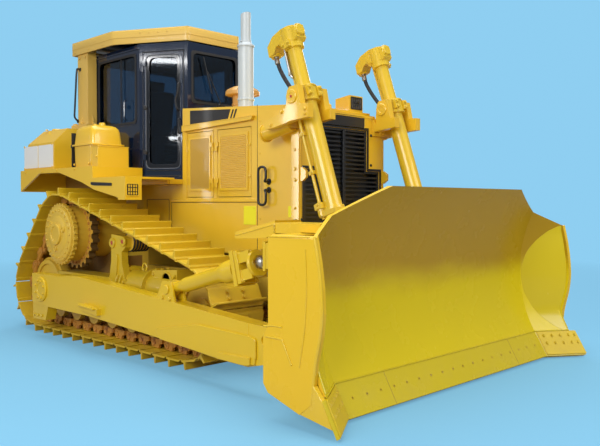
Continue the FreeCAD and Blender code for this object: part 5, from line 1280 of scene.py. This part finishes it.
@pair("body_yellow", bevel=1.5)
def hood_trim(bm):
    """Rows of screws, the sill's plate and its drip edge, and the post between the doors."""
    studs(bm, (386, 607, 834, 1075, 1297, 1480), HOOD_OUT, 1394, OUT, [(0, 10), (3, 9), (5, 5), (5, 0)], 12)
    studs(bm, (1560, 2040), HOOD_OUT, (1300, 1600, 1900, 2200), OUT, SCREW, 12)
    slab(bm, "y", rect(176, 1521, 968, 1448), HOOD_OUT - 1, HOOD_OUT + 3)
    drip = ((-1, 1452), (7, 1456), (9, 1470), (4, 1484), (-1, 1486))
    slab(bm, "x", [(HOOD_OUT + out, z) for out, z in drip], 176, 1521)
    slab(bm, "y", rect(372, 440, 1482, 2236), HOOD_OUT - 1, HOOD_OUT + 5)
    slab(bm, "y", [(410, 2232), (1490, 2246), (1490, 2252), (410, 2238)], HOOD_OUT + 2, HOOD_OUT + 44)


@pair("seal_rubber")
def hood_seams(bm):
    for x, low, high in ((1524, 965, 2350), (170, 965, 1460), (2066, 965, 2300)):
        block(bm, (x - 2.5, x + 2.5), (HOOD_OUT - 1, HOOD_OUT + 1), (low, high))
    block(bm, (174, 1520), (HOOD_OUT - 1, HOOD_OUT + 1), (1449, 1454))


@pair("trim_black")
def hood_grab_loop(bm):
    y = HOOD_OUT + 64
    foot, rest = [(1684, HOOD_OUT + 2, 1638), (1690, y, 1638)], [(1690, y, 1562), (1684, HOOD_OUT + 2, 1562)]
    loop = ((1708, 1662), (1708, 1770), (1606, 1770), (1606, 1426), (1708, 1426), (1708, 1538))
    pipe(bm, foot + [(x, y, z) for x, z in loop] + rest, 12, 50, 14)
    studs(bm, 1684, HOOD_OUT, (1638, 1562), OUT, [(0, 28), (8, 28), (10, 24), (10, 13)])


@pair("label_yellow")
def blank_stickers(bm):
    for edges in ((1335, 1508, 1242, 1416), (1936, 2022, 1318, 1416)):
        slab(bm, "y", rounded_rect(*edges, 8), HOOD_OUT - 1, HOOD_OUT + 5)


print("hood's side at:", HOOD_OUT)

# %% Engine door panels
DOOR_Z = (1588, 2088)
HINGE_Z = (1700, 1990)
PANEL_OUT = HOOD_OUT + 7


@pair("body_yellow", "engine_door_rear_SIDE", bevel=1.5)
def rear_door_frame(bm):
    rounded_frame(bm, (512, 820), DOOR_Z, 20, 14, at_side, PANEL_OUT, HOOD_OUT + 13)
    for z in HINGE_Z:
        button(bm, (476, HOOD_OUT, z), OUT, 20, 6, 3, 4)


@pair("perforated_yellow", "engine_door_rear_SIDE")
def rear_door_mesh(bm):
    block(bm, (510, 822), (PANEL_OUT, HOOD_OUT + 10), (1586, 2090))


@pair("body_yellow", "engine_door_front_SIDE", bevel=1.5)
def front_door_frame(bm):
    rounded_frame(bm, (1000, 1380), DOOR_Z, 20, 14, at_side, PANEL_OUT, HOOD_OUT + 13)
    for z in HINGE_Z:
        button(bm, (1416, HOOD_OUT, z), OUT, 16, 6, 3, 4)


@pair("louvre_yellow", "engine_door_front_SIDE")
def front_door_louvres(bm):
    """Level slats pressed in the front door's panel."""
    for z in range(1600, 2080, 17):
        slat = ((0, -7), (8, -5), (8, -2), (0, 6))
        slab(bm, "x", [(PANEL_OUT + out, z + up) for out, up in slat], 1004, 1376)


print("door panels at:", PANEL_OUT)

# %% Radiator guard, grille and sign plate
GUARD_OUT = 580.0


def stepped(gap):
    """The grille window's stepped outline in (y, z)."""
    half, top = 510 - gap, 325 - gap
    left = [(half, 840 + gap), (half, 1740 - gap), (top, 1740 - gap), (top, 2120 - gap)]
    return left + [(-y, z) for y, z in reversed(left)]


@one_piece("grille_black")
def grille_backing(bm):
    slab(bm, "x", stepped(-12), 2079, 2085)
    frame_ring(bm, stepped(-3), stepped(3), at_front, 2084, 2156)


@one_piece("grille_black", bevel=1.5)
def grille_rim(bm):
    frame_ring(bm, stepped(-26), stepped(-2), at_front, 2159, 2166)
    for y, z in ((540, 900), (540, 1300), (540, 1700), (380, 1800), (380, 2080)):
        bolts(bm, GUARD_FRONT, (-y * 1.02, y * 1.02), z, AHEAD, 20, 10)
    block(bm, (2155, 2168), (-18, 18), (850, 2110))


@one_piece("trim_black")
def blank_sign_plate(bm):
    slab(bm, "x", rounded_rect(-288, 288, 2146, 2246, 8), 2159, 2164)


@one_piece("body_yellow", bevel=1.0)
def sign_rim(bm):
    rounded_frame(bm, (-290, 290), (2144, 2248), 9, 10, at_front, 2159, 2166)


@pair("body_yellow", bevel=1.5)
def guard_fittings(bm):
    bolts(bm, 2120, GUARD_OUT, (1640, 1735), OUT, 24, 14)
    bolts(bm, 2115, GUARD_OUT, (900, 1150, 1400, 1900), OUT, 22, 12)
    slab(bm, "y", [(2150, 1630), (2190, 1630), (2232, 1660), (2232, 1718), (2190, 1748), (2150, 1748)], 540, 566)
    pipe(bm, [(2161, y, z) for y, z in ((560, 780), (560, 2040), (436, 2240), (0, 2240))], 5, 20, 8)


print("guard's side at:", GUARD_OUT)

# %% Lamp boxes
LAMP_FRONT = 2050.0
LAMP_Y, LAMP_Z = (232, 372), (2336, 2434)


@pair("trim_black")
def lamp_bezels(bm):
    """The bezel and its guard bars."""
    rounded_frame(bm, LAMP_Y, LAMP_Z, 10, 12, at_front, LAMP_FRONT - 1, LAMP_FRONT + 7)
    for y in range(260, 345, 28):
        block(bm, (LAMP_FRONT, LAMP_FRONT + 5), (y - 3, y + 3), (2334, 2436))
    block(bm, (LAMP_FRONT, LAMP_FRONT + 4), (230, 374), (2381, 2389))


@pair("console_plastic")
def lamp_faces(bm):
    block(bm, (LAMP_FRONT - 4, LAMP_FRONT + 2), LAMP_Y, LAMP_Z)


@pair("lamp_glass")
def lamp_lenses(bm):
    turned(bm, (LAMP_FRONT - 1, 302, 2385), AHEAD, [(0, 44), (3, 42), (5, 30), (5, 0)], 28)


@pair("body_yellow")
def lamp_box_screws(bm):
    studs(bm, (1905, 2020), 397, (2375, 2425), OUT, [(0, 9), (3, 8), (4, 0)], 12)


print("lamps' front at:", LAMP_FRONT)

# %% Exhaust, air intake and the hood's top
STACK_X, STACK_Y = 1156, 300
INTAKE_X, INTAKE_Z = 760, 2396.0


@one_piece("stack_silver", side=RIGHT)
def stack_rings(bm):
    studs(bm, STACK_X, STACK_Y, (2322, 2440, 2958), UP, [(0, 74), (0, 84), (16, 84), (20, 74)], 48)
    turned(bm, (STACK_X, STACK_Y, 2974), UP, [(0, 78), (3, 76), (22, 58), (30, 50), (34, 48.5)], 48)
    collar(bm, (STACK_X, STACK_Y, 2995), UP, 49, 55, 26, 40)
    bolt(bm, (STACK_X, STACK_Y + 58, 3008), OUT, 16, 14)


@one_piece("cap_orange")
def intake_rings(bm):
    """Clamp rings, the cap's rim and its knob, and the vanes under it."""
    for rise, profile, sides in (
            (-14, [(0, 104), (0, 132), (12, 132), (16, 126), (16, 104)], 44),
            (60, [(0, 103), (0, 110), (22, 110), (22, 103)], 44),
            (166, [(0, 172), (2, 178), (20, 180), (38, 178), (42, 172)], 48),
            (252, [(0, 60), (6, 56), (10, 30), (22, 26), (24, 0)], 32)):
        turned(bm, (INTAKE_X, 0, INTAKE_Z + rise), UP, profile, sides)
    bolt_ring(bm, (INTAKE_X, 0, INTAKE_Z), UP, 119, 8, 14, 8)
    for k in range(12):
        cos, sin = math.cos(math.pi * k / 6), math.sin(math.pi * k / 6)
        spot = Vector((INTAKE_X + 140 * cos, 140 * sin, INTAKE_Z + 228))
        slanted_block(bm, spot, Vector((cos, sin, -0.55)).normalized(),
                      Vector((0.55 * cos, 0.55 * sin, 1)).normalized(), (30, 3, 5))


def on_hood(x, y, level):
    """A point on the hood's top, which slopes down forwards."""
    return x, y, 2420 - 0.0688 * (x - 370) + level


@one_piece("body_yellow")
def hood_top_fittings(bm):
    """Hinged covers, lifting eyes and screws on the hood's top."""
    for x0, x1, half in ((1500, 1860, 200), (420, 600, 300)):
        frame_ring(bm, rect(x0, x1, -half, half), rect(x0 + 14, x1 - 14, 14 - half, half - 14), on_hood, -1, 5)
    for x in (460, 900, 1420, 1880):
        for y in (-440, 440):
            turned(bm, on_hood(x, y, -2), UP, [(0, 11), (4, 10), (6, 5), (6, 0)], 12)
    for x in (640, 1960):
        low, high = on_hood(x, 0, 0)[2], on_hood(x, 0, 46)[2]
        pipe(bm, [(x - 40, 0, low), (x - 40, 0, high), (x + 40, 0, high - 4), (x + 40, 0, low - 6)], 9, 30, 10)


print("exhaust at:", STACK_X, "intake at:", INTAKE_X)

# %% [markdown]
# ## Cab, roof and posts
# The cab is glossy near-black navy with dark glass in rubber seals. Its door stands in a slanting
# wall, so its handle, seal and grab bar are laid out along that wall. The roof has a deep fascia with
# a crease, and a dark liner underneath.

# %% Cab windows and doors
CAB_OUT, CAB_FRONT, CAB_REAR = 634.0, 300.0, -1100.0
DOOR_ANGLE = 0.49949
door_along = Vector((math.cos(DOOR_ANGLE), -math.sin(DOOR_ANGLE), 0))
door_out = Vector((math.sin(DOOR_ANGLE), math.cos(DOOR_ANGLE), 0))
DOOR_A, DOOR_B = (44.0, 517.6), (1731.0, 3054.0)
DOOR = "cab_door_SIDE"


def on_door(a, z, level):
    """A point on the slanting door wall: along it from the rear pillar, its height, and outwards."""
    return Vector((-193, CAB_OUT, z)) + door_along * a + door_out * level


def at_rear(y, z, level):
    return -level, y, z


@pair("seal_rubber", bevel=1.5)
def cab_side_seals(bm):
    rounded_frame(bm, (-1012, -271), (2328, 3032), 26, 50, at_side, CAB_OUT - 3, CAB_OUT + 7, 60)
    rounded_frame(bm, (-560, -545), (2340, 3020), 6, 5, at_side, CAB_OUT - 3, CAB_OUT + 4)


@one_piece("seal_rubber", bevel=1.5)
def windscreen_seal(bm):
    rounded_frame(bm, (-292, 292), (2528, 3032), 26, 40, at_front, CAB_FRONT - 3, CAB_FRONT + 7, 60)


@one_piece("seal_rubber", bevel=1.5)
def rear_window_seal(bm):
    rounded_frame(bm, (-496, 496), (2388, 3032), 26, 40, at_rear, -CAB_REAR - 3, -CAB_REAR + 7, 60)


@pair("cab_navy", DOOR, bevel=3.0)
def cab_door_skin(bm):
    """The pressed frame round the door's glass."""
    rounded_frame(bm, (78, 484), (1812, 3016), 22, 62, on_door, -3, 12, 66)


@pair("glass_border", DOOR)
def cab_door_border(bm):
    """Black border that is fired on the glass, out to the pale seal."""
    rounded_frame(bm, (118, 444), (1858, 2988), 42, 50, on_door, -3, 3, 66)


@pair("seal_grey", DOOR)
def cab_door_seal_line(bm):
    rounded_frame(bm, (84, 478), (1818, 3010), 7, 60, on_door, -3, 8, 62)


@pair("seal_rubber", DOOR)
def cab_door_gasket(bm):
    (a0, a1), (b0, b1) = DOOR_A, DOOR_B
    frame_ring(bm, rect(a0 - 4, a1 + 4, b0 - 2, b1 + 2), rect(a0 + 4, a1 - 4, b0 + 8, b1 - 8), on_door, -8, 1)


@pair("trim_black", DOOR)
def cab_door_handles(bm):
    """Black pull with its lock, and the long grab bar beside the glass."""
    pull = ((478, 2180, 0), (478, 2180, 44), (478, 2330, 44), (478, 2330, 0))
    grab = ((462, 2420, 2), (462, 2430, 48), (440, 2520, 52), (476, 2620, 52), (476, 2700, 48), (476, 2712, 2))
    for path, radius, reach in ((pull, 9, 26), (grab, 10, 46)):
        pipe(bm, [on_door(*spot) for spot in path], radius, reach, 10)
    button(bm, on_door(478, 2120, 0), door_out, 26, 8)
    for z in (2465, 1990):
        button(bm, on_door(74, z, 0), door_out, 24, 14, 6, 6)


@pair("cab_navy", bevel=1.0)
def cab_fittings(bm):
    """Rain gutter, window latch, hinge caps and the lower sill of the cab."""
    block(bm, (CAB_REAR + 4, -196), (CAB_OUT - 1, CAB_OUT + 14), (3092, 3106))
    for z in (1760, 2290):
        block(bm, (CAB_REAR + 20, -230), (CAB_OUT - 1, CAB_OUT + 5), (z, z + 12))
    button(bm, (-479, CAB_OUT, 2503), OUT, 24, 16, 6, 6)
    pipe(bm, [(-430, CAB_OUT + out, z) for out, z in ((2, 2350), (40, 2360), (40, 2560), (2, 2570))], 8, 24, 10)
    studs(bm, -222, CAB_OUT, (1800, 2100, 2400, 2700, 3000), OUT, [(0, 10), (4, 9), (6, 0)], 12)


@one_piece("trim_black", side=RIGHT)
def windscreen_wiper(bm):
    """Wiper with its arm across the windscreen, and the washer's pipe."""
    pipe(bm, [(CAB_FRONT + 4, -60, 2505), (CAB_FRONT + 34, -60, 2510), (CAB_FRONT + 30, 120, 2850)], 6, 18, 8)
    pipe(bm, [(CAB_FRONT + 22, 60, 2620), (CAB_FRONT + 22, 170, 3000)], 7, 10, 6)
    turned(bm, (CAB_FRONT, -60, 2505), AHEAD, [(0, 24), (12, 24), (18, 16), (30, 14), (30, 0)], 20)


@one_piece("trim_black", side=LEFT)
def cab_corner_rail(bm):
    """Tube rail at the cab's front corner on the far side."""
    path = ((-30, 360, 2730), (-20, 425, 2740), (-20, 425, 3046), (-30, 360, 3056))
    pipe(bm, [(CAB_FRONT + x, y, z) for x, y, z in path], 12, 54, 12)


print("cab's side at:", CAB_OUT)

# %% Operator's seat
SEAT_FLOOR = 1720.0
GRID = 10  # squares along each side of a cushion


def cushion(name, centre, half, crown, tilt=0.0, waist=0.93):
    """A stuffed cushion: crowned faces, sides that pull in between the corners, and sewn channels."""
    bm = bmesh.new()
    lean = Matrix.Rotation(tilt, 3, "Y")
    spread = [2 * i / GRID - 1 for i in range(GRID + 1)]

    def on_face(u, v, way):
        pull_u, pull_v = (1 - (1 - waist) * (1 - w * w) for w in (v, u))
        channel = 0.16 * math.exp(-((abs(v) - 0.34) / 0.045) ** 2)
        rise = half[2] * 0.55 + crown * (1 - u ** 4) * (1 - v ** 4) * (1 - channel)
        return Vector(centre) + lean @ Vector((u * half[0] * pull_v, v * half[1] * pull_u, way * rise))

    top, under = ([[bm.verts.new(on_face(u, v, way)) for v in spread] for u in spread] for way in (1, -1))
    for layer, order in ((top, 1), (under, -1)):
        for i, j in itertools.product(range(GRID), repeat=2):
            bm.faces.new((layer[i][j], layer[i + 1][j], layer[i + 1][j + 1], layer[i][j + 1])[::order])
    rim = [(i, 0) for i in range(GRID)] + [(GRID, j) for j in range(GRID)]
    rim += [(GRID - i, GRID - j) for i, j in rim]
    for (i, j), (k, l) in zip(rim, rim[1:] + rim[:1]):
        bm.faces.new((top[i][j], under[i][j], under[k][l], top[k][l]))
    pad = finish_piece(name, bm, "seat_cloth", "tractor")
    pad.data.set_sharp_from_angle(angle=math.pi)
    smooth = pad.modifiers.new("soft_skin", "SUBSURF")
    smooth.levels = smooth.render_levels = 1
    return pad


seat_pan = cushion("seat_cushion", (-575, 0, SEAT_FLOOR + 388), (235, 240, 50), 32)
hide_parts("operator_seat")
cushion("seat_back_cushion", (-818, 0, SEAT_FLOOR + 760), (300, 232, 50), 34, math.radians(99))
cushion("seat_headrest", (-872, 0, SEAT_FLOOR + 1105), (75, 150, 40), 24, math.radians(99))
for side_name, side in SIDES:
    cushion("armrest_" + side_name, (-620, side * 262, SEAT_FLOOR + 648), (170, 38, 22), 12)


@one_piece("console_plastic", bevel=3.0)
def seat_base(bm):
    """Pedestal, bellows, tray and the armrests' brackets."""
    block(bm, (-740, -440), (-150, 150), (SEAT_FLOOR, SEAT_FLOOR + 120))
    for rise in range(120, 259, 46):
        turned(bm, (-590, 0, SEAT_FLOOR + rise), UP, [(0, 120), (10, 150), (36, 150), (46, 120)], 32)
    slab(bm, "z", rounded_rect(-800, -360, -230, 230, 50), SEAT_FLOOR + 304, SEAT_FLOOR + 330)
    for y in (-262, 262):
        pipe(bm, [(-800, y * 0.9, SEAT_FLOOR + 400), (-800, y, SEAT_FLOOR + 610), (-470, y, SEAT_FLOOR + 630)],
             16, 60, 10)


@one_piece("console_plastic", bevel=4.0)
def dash_and_levers(bm):
    """Dash hood, gauges' bezels, levers and pedals."""
    hood_line = ((250, 2510), (60, 2440), (45, 2470), (230, 2560), (250, 2556))
    slab(bm, "y", round_corners(hood_line, 20), -225, 225)
    studs(bm, 54, (-130, -45, 45, 130), 2400, (-1, 0, 0.3), [(0, 34), (10, 34), (14, 28), (10, 26), (10, 0)])
    for y in (-160, 160):
        pipe(bm, [(-20, y, SEAT_FLOOR), (-60, y, SEAT_FLOOR + 420), (-100, y * 1.1, SEAT_FLOOR + 640)], 12, 60, 10)
        turned(bm, (-100, y * 1.1, SEAT_FLOOR + 630), (-0.1, 0, 1),
               [(0, 14), (10, 26), (40, 30), (64, 20), (72, 0)], 20)
    for y in (-90, 20, 90):
        slanted_block(bm, (60, y, SEAT_FLOOR + 150), Vector((0.8, 0, 0.6)), Vector((-0.6, 0, 0.8)), (50, 32, 8))
    for y in (-330, 330):
        block(bm, (-800, -250), (y - 60, y + 60), (SEAT_FLOOR, SEAT_FLOOR + 460))


print("seat's floor at:", SEAT_FLOOR)

# %% Roof and its posts
ROOF_TOP, ROOF_BOTTOM = 3307.0, 3160.0
ROOF_REAR, ROOF_KNEE, ROOF_FRONT = (-1375, 779), (-491, 779), (285, 352)
POST_OUT = 757


def both_halves(left):
    """An outline across the middle, from its left half."""
    return left + [(x, -y) for x, y in reversed(left)]


def roof_outline(out):
    return both_halves([(ROOF_REAR[0] - out, ROOF_REAR[1] + out), (ROOF_KNEE[0] + out * 0.3, ROOF_KNEE[1] + out),
                        (ROOF_FRONT[0] + out, ROOF_FRONT[1] + out * 0.6)])


@one_piece("roof_tan", bevel=2.0)
def roof_skin(bm):
    """Creased fascia and a slightly crowned top, as one shell over the solid's edges."""
    levels = ((ROOF_BOTTOM + 12, -8), (ROOF_BOTTOM - 2, -4), (ROOF_BOTTOM - 2, 3), (ROOF_BOTTOM + 16, 5),
              (ROOF_BOTTOM + 58, 5), (ROOF_BOTTOM + 64, 9), (ROOF_TOP - 22, 8), (ROOF_TOP - 4, 1),
              (ROOF_TOP + 4, -16), (ROOF_TOP + 9, -120))
    loft(bm, [[(x, y, z) for x, y in round_corners(roof_outline(out), 34, 3)] for z, out in levels],
         first_cap=False)


@one_piece("cab_navy")
def roof_liner(bm):
    slab(bm, "z", both_halves([(-1300, 740), (-500, 740), (245, 330)]), ROOF_BOTTOM + 14, ROOF_BOTTOM + 30)


@pair("roof_tan")
def roof_marks(bm):
    """Plugged screw holes and small brackets on the fascia."""
    knee = Vector((*ROOF_KNEE, ROOF_BOTTOM + 104))
    face = (Vector((*ROOF_FRONT, knee.z)) - knee).normalized()
    out = Vector((-face.y, face.x, 0))
    for share in (0.38, 0.5, 0.62, 0.74):
        turned(bm, knee + face * (share * 885) + out * 9, out, [(0, 9), (3, 8), (3, 0)], 12)
    studs(bm, (-1300, -1000, -700), 787, ROOF_BOTTOM + 30, OUT, [(0, 10), (3, 9), (4, 0)], 12)


@pair("roof_tan", bevel=2.0)
def post_fittings(bm):
    """Feet bolts, gussets and the pad plates of the roof posts."""
    bolts(bm, (-1350, -1310, -1050), (680, 772), 2350, UP, 30, 20)
    bolts(bm, (-1240, -1115), POST_OUT, (3120, 3180), OUT, 26, 14)
    slab(bm, "x", [(POST_OUT, 2350), (792, 2350), (POST_OUT, 2440)], -1200, -1184)
    slab(bm, "y", [(-1290, 2350), (-1365, 2350), (-1290, 2450)], 690, 706)
    slab(bm, "y", [(-1065, 2350), (-1030, 2350), (-1065, 2450)], 690, 706)
    block(bm, (-1288, -1067), (756, 760), (2362, 3120))


@pair("trim_black")
def post_rails(bm):
    pipe(bm, [(-1230, 760, 2990), (-1230, 800, 3000), (-1236, 806, 2930), (-1290, 806, 2440), (-1290, 762, 2400)],
         11, 40, 12)
    for x, z in ((-1230, 2990), (-1290, 2400)):
        button(bm, (x, POST_OUT, z), OUT, 22, 8, 2, 4, 18)


print("roof from", ROOF_BOTTOM, "to", ROOF_TOP)

# %% [markdown]
# ## Tanks and fenders
# The hydraulic tank and the battery box share one shape: a body with a tall domed lid, and a lower box
# in front. The fenders carry a lamp in their front end and a black rubber strip along the skirt.

# %% Tanks
TANK_X, TANK_Y, LID_END = (-650.0, -135.0), (800.0, 1170.0), -243
PANEL_HIGH = (1848, 2100)


@pair("body_yellow", bevel=3.0)
def side_tanks(bm):
    """Body, flange and domed lid as lofts of rounded outlines, with the front box beside them."""
    y0, y1 = TANK_Y
    for levels in (  # height, inset and corner radius
            ((1820, 10, 44), (2047, 6, 40)),
            ((2045, -17, 50), (2060, -17, 50), (2064, -4, 60)),
            ((2062, 4, 50), (2130, 9, 54), (2195, 15, 58), (2224, 24, 60), (2246, 42, 60), (2259, 68, 56),
             (2265, 104, 40))):
        loft(bm, [[(x, y, z) for x, y in round_corners(
            rect(TANK_X[0] + inset, LID_END - inset, y0 + inset, y1 - inset), radius, 5)]
            for z, inset, radius in levels])
    for x, r in ((-360, 34), (-500, 22)):
        turned(bm, (x, (y0 + y1) / 2, 2256), UP, [(0, r), (26, r), (34, r - 5), (36, 0)], 28)
    block(bm, (LID_END - 8, TANK_X[1]), (y0 + 8, y1 - 2), (1820, 2026))
    block(bm, (LID_END + 2, TANK_X[1] + 5), (y0 + 4, y1 + 3), (2022, 2032))
    button(bm, (-160, y1 - 2, 1925), OUT, 12, 8, 4, 4, 16)
    bolts(bm, (-600, -300), y1 + 6, 1852, OUT, 20, 10)


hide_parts("hydraulic_tank")
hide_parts("battery_box")


@pair("seal_rubber")
def tank_straps(bm):
    """Rubber edge between the tanks, and the latch on the front box."""
    block(bm, (-664, -652), (792, 1176), (1824, 2190))
    block(bm, (-672, -630), (1166, 1180), (2030, 2062))


@pair("body_yellow", bevel=1.5)
def fuel_tank_fittings(bm):
    button(bm, (-1560, 880, 2283), UP, 62, 26, 8, 8, 32)
    bolts(bm, -1500, (560, 1040), 2284, UP, 26, 14)
    bolts(bm, (-1800, -1110), 1168, (1850, 2100), OUT, 20, 10)


@pair("panel_white")
def blank_panels(bm):
    for x0, x1 in ((-1806, -1462), (-1446, -1092)):
        slab(bm, "y", rounded_rect(x0, x1, *PANEL_HIGH, 10), 1169, 1173)


print("tank lid ends at:", LID_END)

# %% Fenders
FENDER_OUT = 1230.0
LAMP_WIDE, LAMP_HIGH = (1085, 1212), (1518, 1628)


@pair("sill_yellow", bevel=1.0)
def fender_fittings(bm):
    """Skirt bolts, the lamp's frame, the deck's inner plate and its tread buttons."""
    bolts(bm, (-1650, -1250, -900, -500), FENDER_OUT, 1800, OUT, 18, 8)
    rounded_frame(bm, LAMP_WIDE, LAMP_HIGH, 9, 12, at_front, 474, 481)
    slab(bm, "y", rect(-1120, -360, 1560, 1660), 641, 650)
    studs(bm, (40, 200, 360), (760, 900, 1040, 1180), 1700, UP, [(0, 22), (3, 20), (3, 12), (1, 10), (1, 0)], 12)


@pair("trim_black")
def fender_lamps(bm):
    """Dark lamp face behind three rows of slots."""
    block(bm, (470, 477), LAMP_WIDE, LAMP_HIGH)


@pair("sill_yellow")
def fender_lamp_bars(bm):
    """Guard bars over the lamp, in the fender's own paint."""
    for y in (1108, 1134, 1163, 1189):
        for z0, z1 in ((1525, 1549), (1556, 1590), (1597, 1622)):
            slab(bm, "x", rounded_rect(y - 7, y + 7, z0, z1, 5), 476, 481)


@pair("inner_brown")
def fender_liners(bm):
    """Plate behind the wheel arch, which closes the view through it."""
    slab(bm, "y", [(-1765, 1577), (-1765, 1798), (-1120, 1798), (-1120, 1640), (-1300, 1590)], 662, 676)


@pair("lamp_glass")
def fender_lamp_lenses(bm):
    studs(bm, 476, (1101, 1133, 1165, 1197), 1573, AHEAD, [(0, 9), (2, 8), (3, 0)], 14)


@pair("seal_rubber")
def fender_strips(bm):
    strip = [(-163, 1632), (-163, 1658), (236, 1642), (240, 1612), (-100, 1622)]
    slab(bm, "y", round_corners(strip, 8), FENDER_OUT - 1, FENDER_OUT + 5)
    for x in range(-140, 181, 80):
        turned(bm, (x, FENDER_OUT + 4, 1640 - (x + 140) * 0.03), OUT, [(0, 9), (4, 8), (4, 0)], 10)


@pair("inner_brown", bevel=1.0)
def mud_plates(bm):
    """Mud plates between the case and the track, with the recess beside the platform."""
    slab(bm, "y", [(-1720, 640), (-1600, 590), (-380, 590), (-380, 905), (-1720, 905)], 684, 696)
    for x in (-1440, -900, -480):
        block(bm, (x - 12, x + 12), (428, 686), (700, 860))
    studs(bm, -20, 446, (1306, 1544), OUT, [(0, 8), (2, 8), (2, 0)], 12)
    rounded_frame(bm, (-330, 80), (1250, 1480), 8, 14, at_side, 444, 454)


print("fender's side at:", FENDER_OUT)
